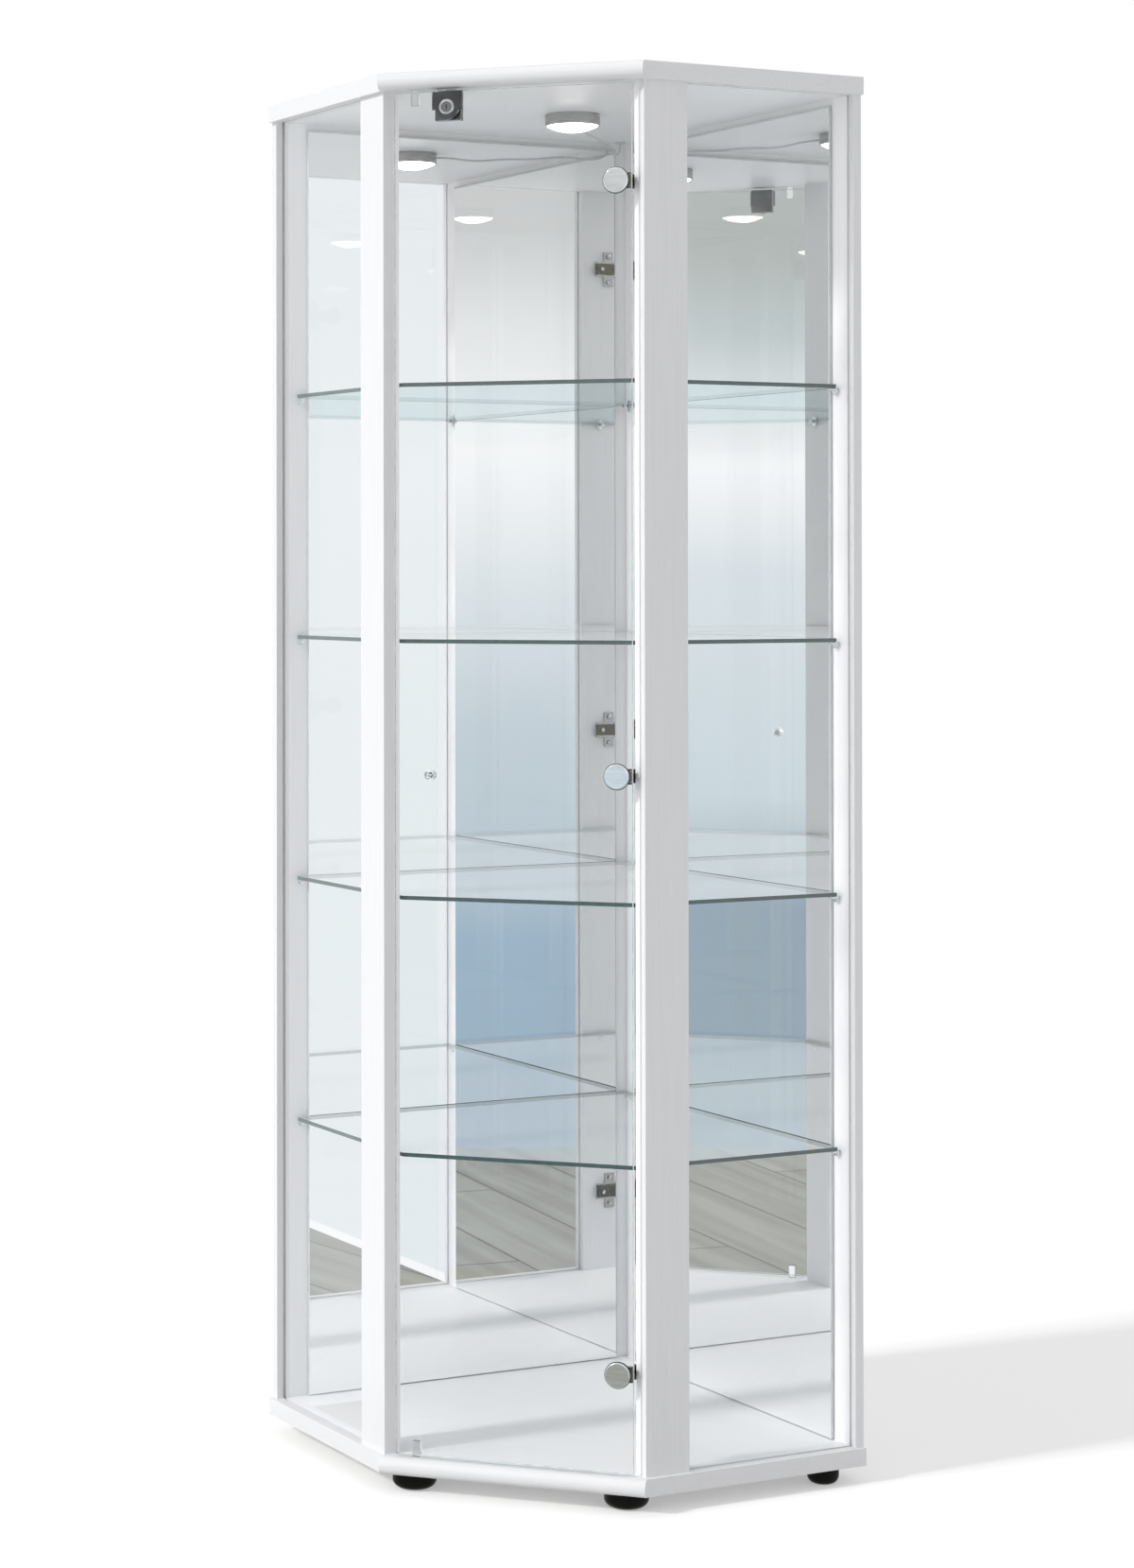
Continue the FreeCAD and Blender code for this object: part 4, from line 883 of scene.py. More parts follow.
def turned(profile, centre, way, around=64, closed=False):
    """a mesh spun round an axis: the profile's pairs are radius and distance along way"""
    aim = Vector((0, 0, 1)).rotation_difference(Vector(way).normalized()).to_matrix()
    form = bmesh.new()
    rings = []
    for radius, along in eased(profile, closed):
        count = 1 if radius < 1e-7 else around
        ring = []
        for step in range(count):
            angle = 2 * math.pi * step / count
            spot = Vector((radius * math.cos(angle), radius * math.sin(angle), along))
            ring.append(form.verts.new(Vector(centre) + aim @ spot))
        rings.append(ring)
    pairs = list(zip(rings, rings[1:]))
    if closed:
        pairs.append((rings[-1], rings[0]))
    for lower, upper in pairs:
        for step in range(around):
            after = (step + 1) % around
            if len(lower) == 1:
                form.faces.new((lower[0], upper[step], upper[after]))
            elif len(upper) == 1:
                form.faces.new((lower[step], lower[after], upper[0]))
            else:
                form.faces.new((lower[step], lower[after], upper[after], upper[step]))
    bmesh.ops.recalc_face_normals(form, faces=form.faces)
    return as_mesh(form, "turned")


def joined(meshes):
    """one mesh made of several"""
    form = bmesh.new()
    for mesh in meshes:
        form.from_mesh(mesh)
    return as_mesh(form, "joined")


def block(low, high, ease, steps=3):
    """a box between two corners, its edges rounded"""
    low = Vector(low)
    high = Vector(high)
    form = bmesh.new()
    bmesh.ops.create_cube(form, size=1.0)
    bmesh.ops.scale(form, vec=high - low, verts=form.verts)
    bmesh.ops.translate(form, vec=(low + high) / 2, verts=form.verts)
    round_edges(form, form.edges[:], ease, steps)
    return as_mesh(form, "block")


def middle(node):
    low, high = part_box(node)
    return (low + high) / 2


print("lathe ready")

# %% [markdown]
# ## Feet
#
# Each foot is a glossy black glide: a straight wall under the base, a belly that curls in below
# it, and a sole with a sunk bore for its screw. The profile runs up the bore, out under the base
# and down round the belly, which is a quarter of an ellipse.

# %% Feet
CURL_IN = 14.0 * MM
CURL_UP = 10.5 * MM
CURL_STEPS = 12
SOLE = 10.5 * MM
FOOT_BORE = 2.6 * MM
FOOT_SINK = 6.5 * MM
FOOT_SINK_DEEP = 12.2 * MM
FEET = ("foot_front_left", "foot_front_right", "foot_side_left", "foot_side_right", "foot_back")
for node in FEET:
    low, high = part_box(node)
    centre = middle(node)
    centre.z = low.z
    radius = (high.x - low.x) / 2
    tall = high.z - low.z
    curl = min(CURL_IN, radius - SOLE)
    belly = []
    for step in range(CURL_STEPS + 1):
        angle = math.pi / 2 * step / CURL_STEPS
        belly.append((radius - curl + curl * math.cos(angle), CURL_UP - CURL_UP * math.sin(angle)))
    profile = [(FOOT_BORE, FOOT_SINK_DEEP), (FOOT_BORE, tall), (radius, tall, 0.6 * MM)] + belly
    profile += [(FOOT_SINK + 0.4 * MM, 0.0, 0.5 * MM), (FOOT_SINK, FOOT_SINK_DEEP, 0.3 * MM)]
    piece(node + "_glide", turned(profile, centre, (0, 0, 1), 72, closed=True), foot_black,
          "carcass", (node,))
print("feet", len(FEET))

# %% [markdown]
# ## The light
#
# The light is a shallow drum under the top: a spun metal ring, a frosted lens that bulges below
# it, and behind the lens a board with a ring of small diodes. The ring is brushed, so its noise is
# squeezed along the height. The lens glows by itself, which also throws the soft pool of light on
# the top.

# %% Ring and lens of the light
ring_low, ring_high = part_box("led_housing")
ring_centre = middle("led_housing")
ring_radius = (ring_high.x - ring_low.x) / 2
ring_tall = ring_high.z - ring_low.z
RING_WALL = 3.0 * MM
RING_ROOF = 2.0 * MM
ring_profile = (
    (0.0, ring_tall),
    (ring_radius, ring_tall, 0.5 * MM),
    (ring_radius, 0.0, 0.9 * MM),
    (ring_radius - RING_WALL, 0.0, 0.9 * MM),
    (ring_radius - RING_WALL, ring_tall - RING_ROOF, 0.5 * MM),
    (0.0, ring_tall - RING_ROOF),
)
ring_base = Vector((ring_centre.x, ring_centre.y, ring_low.z))
piece("light_ring", turned(ring_profile, ring_base, (0, 0, 1), 128), ring_metal, "carcass",
      ("led_housing",))

lens_low, lens_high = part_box("led_lens")
lens_radius = (lens_high.x - lens_low.x) / 2
lens_drop = ring_low.z - lens_low.z
LENS_SKIN = 2.0 * MM
LENS_STEPS = 14
LENS_COLOUR = (1.0, 0.955, 0.88, 1.0)
LENS_GLOW = 11.0
ball = (lens_radius ** 2 + lens_drop ** 2) / (2 * lens_drop)
lens_outer = []
lens_inner = []
for step in range(LENS_STEPS + 1):
    share = step / LENS_STEPS
    reach = lens_radius * share
    sag = ball - math.sqrt(ball ** 2 - reach ** 2)
    lens_outer.append((reach, sag))
    inner_reach = (lens_radius - LENS_SKIN) * share
    inner_sag = ball - math.sqrt((ball - LENS_SKIN) ** 2 - inner_reach ** 2)
    lens_inner.append((inner_reach, inner_sag))
rim = lens_high.z - lens_low.z
lens_profile = lens_outer + [(lens_radius, rim), (lens_radius - LENS_SKIN, rim)]
lens_profile += list(reversed(lens_inner))
lens_base = Vector((ring_centre.x, ring_centre.y, lens_low.z))
frosted = Finish("frosted_lens", (0.96, 0.95, 0.93), 0.45)
frost = frosted.noise(500.0, detail=3.0)
frosted.bump(frost, 0.03 * MM, 0.5)
frosted.shader.inputs["Emission Color"].default_value = LENS_COLOUR
frosted.shader.inputs["Emission Strength"].default_value = LENS_GLOW
piece("light_lens", turned(lens_profile, lens_base, (0, 0, 1), 96), frosted.material, "carcass",
      ("led_lens",))
print("lens bulges", round(lens_drop / MM, 1), "mm below the ring")

# %% [markdown]
# ## Repeated hardware with Geometry Nodes
#
# Screws, shelf supports and diodes are one small shape each, many times over. A Geometry Nodes
# tree copies a pattern mesh onto points: each point carries its own turn as an attribute, the
# copies are made real, and the tree sets their finish. A loop that joins meshes would also work,
# but the tree keeps the pattern and the places apart, so either can change alone.

# %% Copying tree
FULL_SIZE = 1.0


def shape_tree(name, inputs, output):
    """an empty shape tree: the tree, its named inputs, its first node and its last"""
    tree = bpy.data.node_groups.new(name, "GeometryNodeTree")
    sockets = {}
    for label, kind in inputs:
        sockets[label] = tree.interface.new_socket(label, in_out="INPUT",
                                                   socket_type="NodeSocket" + kind)
    tree.interface.new_socket(output, in_out="OUTPUT", socket_type="NodeSocketGeometry")
    return tree, sockets, tree.nodes.new("NodeGroupInput"), tree.nodes.new("NodeGroupOutput")


def end_tree(tree, copy, start, end):
    """makes the copies real, gives them their finish and ends the tree"""
    real = add_node(tree, "GeometryNodeRealizeInstances", {"Geometry": copy.outputs["Instances"]})
    paint = add_node(tree, "GeometryNodeSetMaterial", {
        "Geometry": real.outputs["Geometry"], "Material": start.outputs["Finish"]})
    tree.links.new(paint.outputs["Geometry"], end.inputs[0])


def copying_tree():
    """points in, a pattern mesh on each of them out"""
    tree, sockets, start, end = shape_tree("pattern_on_points", (
        ("Points", "Geometry"), ("Pattern", "Object"), ("Size", "Float"),
        ("Finish", "Material")), "Copies")
    pattern = add_node(tree, "GeometryNodeObjectInfo", {"Object": start.outputs["Pattern"]})
    turn_value = add_node(tree, "GeometryNodeInputNamedAttribute", {"Name": "turn"},
                          data_type="FLOAT_VECTOR")
    rotation = add_node(tree, "FunctionNodeEulerToRotation", {0: turn_value.outputs["Attribute"]})
    copy = add_node(tree, "GeometryNodeInstanceOnPoints", {
        "Points": start.outputs["Points"], "Instance": pattern.outputs["Geometry"],
        "Rotation": rotation.outputs[0], "Scale": start.outputs["Size"]})
    end_tree(tree, copy, start, end)
    return tree, sockets


COPIES, COPY_SOCKETS = copying_tree()


def copies(pattern_mesh, places, turns, material):
    """a plain mesh with the pattern at each place, each with its own turn"""
    pattern = link_mesh("pattern", pattern_mesh)
    cloud = bpy.data.meshes.new("places")
    cloud.from_pydata([tuple(place) for place in places], [], [])
    attribute = cloud.attributes.new("turn", "FLOAT_VECTOR", "POINT")
    for slot_value, angles in zip(attribute.data, turns):
        slot_value.vector = angles
    carrier = link_mesh("carrier", cloud)
    copier = carrier.modifiers.new("copies", "NODES")
    copier.node_group = COPIES
    copier[COPY_SOCKETS["Pattern"].identifier] = pattern
    copier[COPY_SOCKETS["Size"].identifier] = FULL_SIZE
    copier[COPY_SOCKETS["Finish"].identifier] = material
    mesh = with_modifiers(carrier)
    bpy.data.objects.remove(carrier)
    bpy.data.objects.remove(pattern)
    return smooth(mesh)


print("copying tree", len(COPIES.nodes), "nodes")

# %% [markdown]
# ## Screws
#
# A screw is a turned head with a cross cut into it, on a shank with rings for its thread. The
# cross is cut with a Boolean once, on the pattern, and every copy has it. Heads sit where the
# solids have them: under the base, in the feet, in the light and on the hinges.

# %% Screw pattern


def cut_away(mesh, tool):
    """mesh without the space that tool takes"""
    body_object = link_mesh("to_cut", mesh)
    tool_object = link_mesh("cutter", tool)
    knife = body_object.modifiers.new("cut", "BOOLEAN")
    knife.operation = "DIFFERENCE"
    knife.solver = "EXACT"
    knife.object = tool_object
    result = with_modifiers(body_object)
    bpy.data.objects.remove(body_object)
    bpy.data.objects.remove(tool_object)
    return smooth(result)


def screw_pattern(head, head_thick, shank, reach, pitch=1.6 * MM, dome=0.35):
    """points along +Z from under the head; the head lies below z = 0"""
    profile = [
        (0.0, -head_thick),
        (head * (1 - dome), -head_thick, head * 0.1),
        (head, -head_thick * (1 - dome), head * 0.12),
        (head, 0.0, head * 0.06),
        (shank, 0.0),
    ]
    turns_count = max(3, int((reach - 2 * shank) / pitch))
    for number in range(turns_count):
        along = pitch * (number + 0.3)
        profile.append((shank * 0.80, along))
        profile.append((shank * 0.98, along + pitch * 0.45))
    profile.append((shank * 0.75, reach - 1.4 * shank))
    profile.append((0.0, reach))
    solid = turned(profile, (0, 0, 0), (0, 0, 1), 24)
    arm = head * 0.56
    wide = head * 0.17
    deep = head_thick * 0.62
    cross = joined([
        block((-arm, -wide, -head_thick - MM), (arm, wide, -head_thick + deep), wide * 0.3, 1),
        block((-wide, -arm, -head_thick - MM), (wide, arm, -head_thick + deep), wide * 0.3, 1),
    ])
    return cut_away(solid, cross)


def loose_parts(node):
    """the centre of each separate solid in a node, with its lowest and highest corner"""
    form = bmesh.new()
    form.from_mesh(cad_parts[node].data)
    bmesh.ops.remove_doubles(form, verts=form.verts, dist=TOUCHING)
    left = set(form.verts)
    found = []
    while left:
        stack = [left.pop()]
        group = []
        while stack:
            vertex = stack.pop()
            group.append(vertex.co.copy())
            for edge in vertex.link_edges:
                other = edge.other_vert(vertex)
                if other in left:
                    left.remove(other)
                    stack.append(other)
        low = Vector([min(spot[axis] for spot in group) for axis in range(3)])
        high = Vector([max(spot[axis] for spot in group) for axis in range(3)])
        found.append(((low + high) / 2, low, high))
    form.free()
    found.sort(key=lambda part: (round(part[0].z, 4), round(part[0].x, 4), round(part[0].y, 4)))
    return found


# Each screw stops at its own angle, a little past that of the one before it.
SPIN_STEP = 0.595


def screws(node, name, head, head_thick, shank, upward):
    """copies of a screw for each solid of a node whose screws stand upright"""
    parts = loose_parts(node)
    reach = parts[0][2].z - parts[0][1].z - head_thick
    pattern = screw_pattern(head, head_thick, shank, reach)
    places = []
    turns = []
    for number, (centre, low, high) in enumerate(parts):
        under_head = low.z + head_thick if upward else high.z - head_thick
        places.append((centre.x, centre.y, under_head))
        turns.append((0.0 if upward else math.pi, 0.0, SPIN_STEP * (number + 1)))
    mesh = copies(pattern, places, turns, zinc)
    print(name, len(places), "screws", len(mesh.polygons), "faces")
    return piece(name, mesh, zinc, "carcass", (node,))


screws("carcass_screws_base", "base_screws", 4.5 * MM, 3.4 * MM, 2.5 * MM, True)
screws("carcass_screws_top", "top_screws", 4.5 * MM, 3.4 * MM, 2.5 * MM, False)
screws("foot_screws", "foot_fixing_screws", 5.5 * MM, 3.0 * MM, 2.5 * MM, True)
screws("led_screws", "light_screws", 3.8 * MM, 1.8 * MM, 2.0 * MM, True)

# %% [markdown]
# ## Hinge screws
#
# The three hinges hold nine small screws that lie flat and look into the cabinet at 45 degrees.
# The same pattern serves; only the turn differs. Each solid's own box says where its head starts.

# %% Hinge screws
WOOD_HEAD_OVER = 6.6 * MM
HINGE_PITCH = 1.2 * MM
into_post = Vector((1, -1, 0)).normalized()
into_turn = tuple(into_post.to_track_quat("Z", "Y").to_euler())
hinge_meshes = []
for kind, head, thick, shank in (("wood", 3.5 * MM, 2.0 * MM, 1.75 * MM),
                                 ("arm", 3.2 * MM, 1.6 * MM, 1.5 * MM)):
    places = []
    for centre, low, high in loose_parts("hinge_screws"):
        if (kind == "wood") != (high.z - low.z > WOOD_HEAD_OVER):
            continue
        whole = (high.x - low.x) * math.sqrt(2) - head - shank
        places.append(centre - into_post * (whole / 2 - thick))
    pattern = screw_pattern(head, thick, shank, whole - thick, HINGE_PITCH)
    hinge_meshes.append(copies(pattern, places, [into_turn] * len(places), zinc))
    print(kind, len(places), "reach", round((whole - thick) / MM, 1))
piece("hinge_fixing_screws", joined(hinge_meshes), zinc, "carcass", ("hinge_screws",))

# %% [markdown]
# ## Shelf supports
#
# Each shelf rests on five plated pins. A pin has a stub in the board, a collar against it and a
# flat tongue under the glass. Each could be turned and placed by itself, but all twenty are
# alike, so the pattern looks along its own X axis and the copies turn to face into the cabinet.

# %% Shelf supports
PIN_RADIUS = 2.45 * MM
STUB = 8.0 * MM
COLLAR_RADIUS = 5.0 * MM
COLLAR = 2.0 * MM
TONGUE = 8.0 * MM
TONGUE_WIDE = 8.0 * MM
TONGUE_THICK = 3.0 * MM
POSTS_BEFORE = -0.15
CORNER_BEHIND = 0.2


def support_pattern(rise):
    """pin, collar and tongue; x = 0 is the board's face, z = 0 the collar's axis"""
    pin = turned((
        (0.0, -STUB),
        (PIN_RADIUS, -STUB, 0.6 * MM),
        (PIN_RADIUS, 0.0),
        (COLLAR_RADIUS, 0.0, 0.3 * MM),
        (COLLAR_RADIUS, COLLAR, 0.8 * MM),
        (0.0, COLLAR + 0.4 * MM),
    ), (0, 0, 0), (1, 0, 0), 40)
    blade = block((COLLAR * 0.4, -TONGUE_WIDE / 2, rise - TONGUE_THICK),
                  (COLLAR + TONGUE, TONGUE_WIDE / 2, rise), 0.8 * MM)
    return joined([pin, blade])


def way_in(centre):
    """the angle at which a support at this place looks into the cabinet"""
    if centre.y > CORNER_BEHIND:
        return math.radians(-135)
    if centre.y > POSTS_BEFORE:
        return math.radians(-135 if centre.x > 0 else -45)
    return math.radians(135 if centre.x > 0 else 45)


for number in SHELVES:
    node = "shelf_pins_%d" % number
    parts = loose_parts(node)
    collar_z = min(low.z for centre, low, high in parts) + COLLAR_RADIUS
    spots = []
    turns = []
    for centre, low, high in parts:
        heading = way_in(centre)
        into = Vector((math.cos(heading), math.sin(heading), 0))
        spots.append(Vector((centre.x, centre.y, collar_z)) - into * (COLLAR + TONGUE - STUB) / 2)
        turns.append((0.0, 0.0, heading))
    pattern = support_pattern(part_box("glass_shelf_%d" % number)[0].z - collar_z)
    mesh = copies(pattern, spots, turns, chrome)
    piece("shelf_supports_%d" % number, mesh, chrome, "carcass", (node,))
    print("shelf", number, "supports", len(spots))

# %% [markdown]
# ## Diodes
#
# Behind the lens sits the circuit board with a ring of small yellow diodes. They are hardly seen
# when the light is on, but a look from below finds them. Their ring follows a rule, so its own
# small tree makes it: a circle of points, a chip on each, made real.

# %% Circuit board and diodes
DIODE_COUNT = 18
DIODE_RING = 20.5 * MM
DIODE_SIZE = 2.8 * MM
DIODE_THICK = 0.28


def diode_tree():
    """a ring of chips: how many, how wide the ring, how large each chip"""
    tree, sockets, start, end = shape_tree("ring_of_diodes", (
        ("Points", "Geometry"), ("Count", "Int"), ("Ring radius", "Float"),
        ("Chip size", "Float"), ("Finish", "Material")), "Diodes")
    count = start.outputs["Count"]
    side = start.outputs["Chip size"]
    circle = add_node(tree, "GeometryNodeMeshCircle", {
        "Vertices": count, "Radius": start.outputs["Ring radius"]})
    chip_size = add_node(tree, "ShaderNodeCombineXYZ", {
        "X": side, "Y": side, "Z": maths(tree, "MULTIPLY", side, DIODE_THICK)})
    chip = add_node(tree, "GeometryNodeMeshCube", {"Size": chip_size.outputs[0]})
    index = add_node(tree, "GeometryNodeInputIndex")
    share = maths(tree, "DIVIDE", index.outputs[0], count)
    spin = add_node(tree, "ShaderNodeCombineXYZ", {
        "Z": maths(tree, "MULTIPLY", share, 2 * math.pi)})
    rotation = add_node(tree, "FunctionNodeEulerToRotation", {0: spin.outputs[0]})
    copy = add_node(tree, "GeometryNodeInstanceOnPoints", {
        "Points": circle.outputs["Mesh"], "Instance": chip.outputs["Mesh"],
        "Rotation": rotation.outputs[0]})
    end_tree(tree, copy, start, end)
    return tree, sockets


circuit = Finish("circuit_board", (0.80, 0.81, 0.80), 0.40)
lacquer = circuit.noise(220.0, detail=3.0)
circuit.colour(circuit.tones(lacquer, (0.70, 0.72, 0.71), (0.82, 0.83, 0.82)))
circuit.roughness(circuit.spread(lacquer, 0.3, 0.5))
dress("led_board", circuit.material)

phosphor = Finish("diode_phosphor", (0.86, 0.72, 0.30), 0.35)
phosphor_grain = phosphor.noise(1500.0, detail=2.0)
phosphor.colour(phosphor.tones(phosphor_grain, (0.80, 0.64, 0.22), (0.90, 0.78, 0.38)))
phosphor.shader.inputs["Emission Color"].default_value = (1.0, 0.9, 0.7, 1.0)
phosphor.shader.inputs["Emission Strength"].default_value = 1.5

DIODES, DIODE_SOCKETS = diode_tree()
diode_mesh = bpy.data.meshes.new("diode_seed")
diode_mesh.from_pydata([(0, 0, 0)], [], [])
diode_carrier = link_mesh("diode_seed", diode_mesh)
maker = diode_carrier.modifiers.new("diodes", "NODES")
maker.node_group = DIODES
maker[DIODE_SOCKETS["Count"].identifier] = DIODE_COUNT
maker[DIODE_SOCKETS["Ring radius"].identifier] = DIODE_RING
maker[DIODE_SOCKETS["Chip size"].identifier] = DIODE_SIZE
maker[DIODE_SOCKETS["Finish"].identifier] = phosphor.material
made = with_modifiers(diode_carrier)
bpy.data.objects.remove(diode_carrier)
board_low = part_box("led_board")[0].z
made.transform(Matrix.Translation((ring_centre.x, ring_centre.y,
                                   board_low - DIODE_SIZE * DIODE_THICK / 2)))
piece("diodes", made, phosphor.material, "carcass", ())
print("diodes", DIODE_COUNT)

# %% [markdown]
# ## Screw covers and the supply socket
#
# White caps close the screw holes in the top. They are pressed plastic: a thin disc with a soft
# rim. The socket for the supply is a grey barrel with a flange. Both are turned shapes.

# %% Covers and socket
cover_meshes = []
for centre, low, high in loose_parts("screw_covers_top"):
    cover_radius = (high.x - low.x) / 2
    cover_tall = high.z - low.z
    cover_meshes.append(turned((
        (0.0, 0.0), (cover_radius, 0.0, 0.1 * MM),
        (cover_radius, cover_tall * 0.7, 0.3 * MM), (cover_radius * 0.8, cover_tall, 0.3 * MM),
        (0.0, cover_tall),
    ), Vector((centre.x, centre.y, low.z)), (0, 0, 1), 40))
piece("screw_covers", joined(cover_meshes), cover_white, "carcass", ("screw_covers_top",))

FLANGE = 8.0 * MM
FLANGE_THICK = 1.5 * MM
BARREL = 6.0 * MM
PLUG_BORE = 2.8 * MM
PLUG_DEEP = 10.0 * MM
WIRE_BORE = 1.0 * MM
SHEATH_BORE = 1.56 * MM
SHEATH_DEEP = 5.4 * MM
socket_low, socket_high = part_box("power_inlet")
socket_tall = socket_high.z - socket_low.z
socket_profile = (
    (SHEATH_BORE, 0.0),
    (FLANGE, 0.0, 0.4 * MM),
    (FLANGE, FLANGE_THICK, 0.3 * MM),
    (BARREL, FLANGE_THICK),
    (BARREL, socket_tall, 0.3 * MM),
    (PLUG_BORE, socket_tall, 0.3 * MM),
    (PLUG_BORE, socket_tall - PLUG_DEEP),
    (WIRE_BORE, socket_tall - PLUG_DEEP),
    (WIRE_BORE, SHEATH_DEEP),
    (SHEATH_BORE, SHEATH_DEEP),
)
socket_base = Vector((0.0, (socket_low.y + socket_high.y) / 2, socket_low.z))
piece("supply_socket", turned(socket_profile, socket_base, (0, 0, 1), 48, closed=True),
      socket_grey, "carcass", ("power_inlet",))
print("covers", len(cover_meshes))

# %% [markdown]
# ## Glass-door hinges
#
# A glass hinge clamps the pane through a round hole: a polished cap in front, a soft ring under
# it, a cup behind that carries the ears, and a steel pin in the barrel of the arm. The arm is
# bolted to a cross-shaped plate on the post. The caps are turned; the cast and pressed parts are
# merged copies with their edges eased, because their own outline is what the eye checks.

# %% Hinges
CAP_INSET = 0.5 * MM
for level_name in HINGE_LEVELS:
    cap_node = "hinge_cap_" + level_name
    low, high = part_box(cap_node)
    centre = middle(cap_node)
    radius = (high.z - low.z) / 2 - CAP_INSET
    thick = high.y - low.y
    start = Vector((centre.x, high.y, centre.z))
    cap = turned((
        (0.0, 0.0),
        (radius, 0.0, 0.3 * MM),
        (radius, thick - 1.0 * MM, 0.7 * MM),
        (radius - 1.1 * MM, thick, 0.8 * MM),
        (radius - 2.2 * MM, thick - 0.16 * MM, 0.5 * MM),
        (0.0, thick - 0.16 * MM),
    ), start, (0, -1, 0), 96)
    piece("hinge_disc_" + level_name, cap, cap_metal, "door", (cap_node,))
    ease_node("hinge_cup_" + level_name, "hinge_housing_" + level_name, 0.35 * MM,
              knuckle_metal, "door")
    ease_node("hinge_arm_" + level_name, "hinge_knuckle_" + level_name, 0.5 * MM, knuckle_metal,
              "carcass", 3)
    ease_node("hinge_plate_" + level_name, "hinge_cross_" + level_name, 0.5 * MM, nickel,
              "carcass", 3)
dress("hinge_gaskets", gasket_grey)
ease_node("hinge_pins", "hinge_pivot_pins", 0.3 * MM, pin_steel, "door")
print("hinges", len(HINGE_LEVELS))

# %% [markdown]
# ## Knob
#
# The knob is a clear spool, narrow at the waist, held by one screw from inside. It is turned in
# one piece with a bore for the screw, so the screw's shank shows through it as it does in the
# real one.

# %% Knob
KNOB_BORE = 2.05 * MM
KNOB_WAIST = 3.5 * MM
knob_low, knob_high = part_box("door_knob")
knob_centre = middle("door_knob")
knob_radius = (knob_high.x - knob_low.x) / 2
knob_deep = knob_high.y - knob_low.y
knob_profile = (
    (0.0, 8.0 * MM),
    (KNOB_BORE, 7.9 * MM),
    (KNOB_BORE, 0.0),
    (knob_radius - 0.2 * MM, 0.0, 0.5 * MM),
    (knob_radius - 0.2 * MM, 2.0 * MM, 0.8 * MM),
    (KNOB_WAIST, 4.6 * MM, 1.6 * MM),
    (KNOB_WAIST, 6.9 * MM, 1.6 * MM),
    (knob_radius, 9.3 * MM, 1.2 * MM),
    (knob_radius, knob_deep - 0.8 * MM, 0.8 * MM),
    (knob_radius - 1.6 * MM, knob_deep, 0.6 * MM),
    (0.0, knob_deep),
)
knob_back = Vector((knob_centre.x, knob_high.y, knob_centre.z))
knob_mesh = turned(knob_profile, knob_back, (0, -1, 0), 64)
piece("knob", knob_mesh, clear_cast, "door", ("door_knob",))

screw_low, screw_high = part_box("knob_screw")
KNOB_HEAD_THICK = 2.6 * MM
knob_screw_pattern = screw_pattern(4.5 * MM, KNOB_HEAD_THICK, 2.0 * MM,
                                   screw_high.y - screw_low.y - KNOB_HEAD_THICK, 0.9 * MM, 0.45)
knob_screw_place = Vector((knob_centre.x, screw_high.y - KNOB_HEAD_THICK, knob_centre.z))
piece("knob_fixing_screw",
      copies(knob_screw_pattern, [knob_screw_place], [(math.pi / 2, 0.0, 0.0)], zinc), zinc,
      "door", ("knob_screw",))
print("knob", round(2 * knob_radius / MM, 1), "x", round(knob_deep / MM, 1), "mm")

# %% [markdown]
# ## Lock
#
# The lock sits high on the free edge of the door: a dark metal front with a round lower end, a
# bright ring round the key plug, and a slim case behind the pane with the bolt. The front is an
# outline pressed out and eased, with the bore cut through it. The ring is turned.

# %% Lock
LOCK_ROUND = 15.0 * MM
LOCK_SHOULDER = -3.0 * MM
LOCK_BARREL = 9.9 * MM
LOCK_BORE = 6.35 * MM
LOCK_STEPS = 28
ROSETTE = 9.6 * MM
ROSETTE_BORE = 6.4 * MM
lock_low, lock_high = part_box("lock_body")
glass_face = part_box("door_glass")[0].y
lock_x = (lock_low.x + lock_high.x) / 2
lock_half = (lock_high.x - lock_low.x) / 2
lock_z = lock_low.z + LOCK_ROUND


def pressed(outline, near, far, ease, steps=3):
    """a slab: an outline in x and z, pressed out between two depths, its edges eased"""
    form = bmesh.new()
    ring = [form.verts.new((x, near, z)) for x, z in outline]
    face = form.faces.new(ring)
    out = bmesh.ops.extrude_face_region(form, geom=[face])
    moved = [part for part in out["geom"] if isinstance(part, bmesh.types.BMVert)]
    bmesh.ops.translate(form, vec=(0, far - near, 0), verts=moved)
    bmesh.ops.recalc_face_normals(form, faces=form.faces)
    rims = [edge for edge in form.edges if abs(edge.verts[0].co.y - edge.verts[1].co.y) < 1e-7]
    round_edges(form, rims, ease, steps)
    return as_mesh(form, "slab")


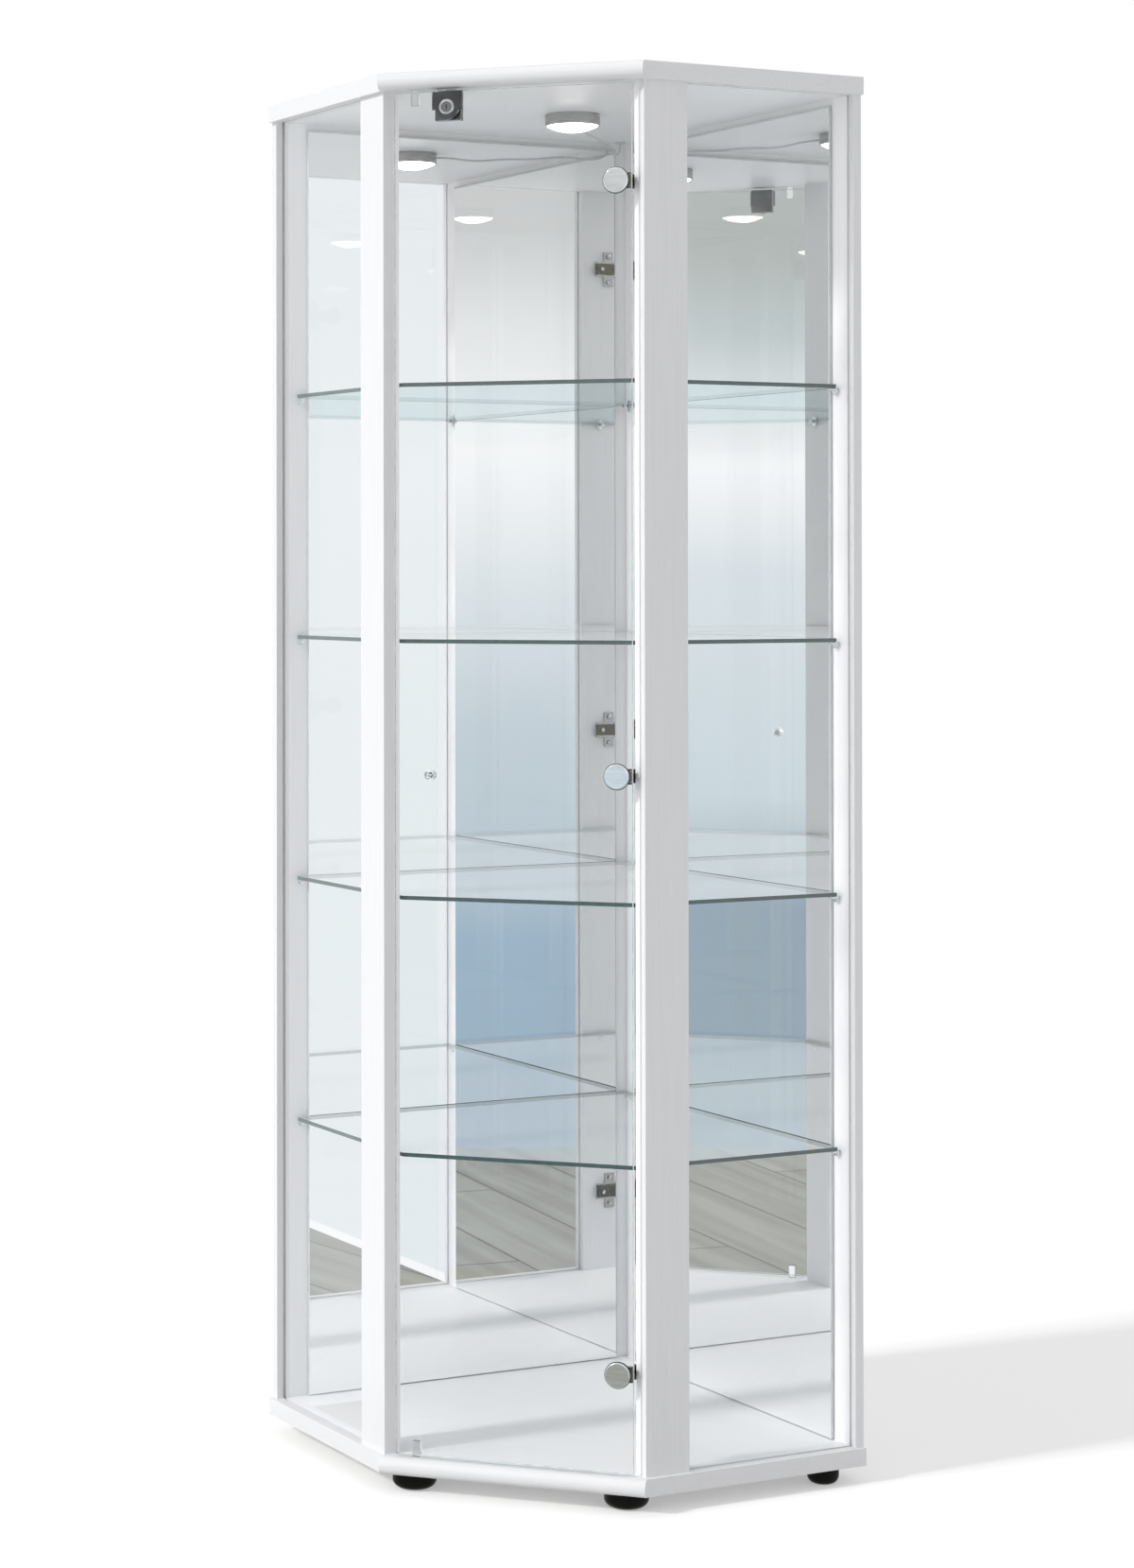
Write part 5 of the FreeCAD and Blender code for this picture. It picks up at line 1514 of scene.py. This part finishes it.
lock_outline = [(lock_x - lock_half, lock_high.z), (lock_x + lock_half, lock_high.z),
                (lock_x + lock_half, lock_z + LOCK_SHOULDER)]
meet = math.asin(LOCK_SHOULDER / LOCK_ROUND)
for step in range(LOCK_STEPS + 1):
    angle = meet - (math.pi + 2 * meet) * step / LOCK_STEPS
    lock_outline.append((lock_x + LOCK_ROUND * math.cos(angle),
                         lock_z + LOCK_ROUND * math.sin(angle)))
lock_outline.append((lock_x - lock_half, lock_z + LOCK_SHOULDER))
lock_front = pressed(lock_outline, lock_low.y, glass_face, 1.2 * MM)
lock_middle = Vector((lock_x, glass_face, lock_z))
lock_behind = lock_high.y - glass_face
barrel = turned(((0.0, -1.0 * MM), (LOCK_BARREL, -1.0 * MM), (LOCK_BARREL, lock_behind),
                 (0.0, lock_behind)), lock_middle, (0, 1, 0), 64)
bore = turned(((0.0, -20 * MM), (LOCK_BORE, -20 * MM), (LOCK_BORE, 20 * MM), (0.0, 20 * MM)),
              lock_middle, (0, 1, 0), 64)
lock_parts = [cut_away(part, bore) for part in (lock_front, barrel)]
piece("lock_front", joined(lock_parts), lock_black, "door", ("lock_body",))
rosette = turned((
    (ROSETTE_BORE, 0.0), (ROSETTE, 0.0), (ROSETTE, 0.5 * MM, 0.3 * MM),
    (8.2 * MM, 1.5 * MM, 0.6 * MM), (ROSETTE_BORE, 1.2 * MM, 0.3 * MM),
), Vector((lock_x, lock_low.y + 0.2 * MM, lock_z)), (0, -1, 0), 96, closed=True)
piece("lock_rosette", rosette, rosette_chrome, "door", ())
ease_node("lock_case", "lock_housing", 0.8 * MM, lock_black, "door", 3)
ease_node("lock_cylinder", "lock_plug", 0.25 * MM, lock_chrome, "lock_cylinder")
ease_node("lock_bolt", "lock_tongue", 0.4 * MM, lock_steel, "lock_bolt")
ease_node("lock_strike", "strike_plate", 0.15 * MM, zinc, "carcass")
ease_node("door_stops", "door_stop_blocks", 0.6 * MM, smoked_cast, "carcass", 3)
print("lock at height", round(lock_z, 3))
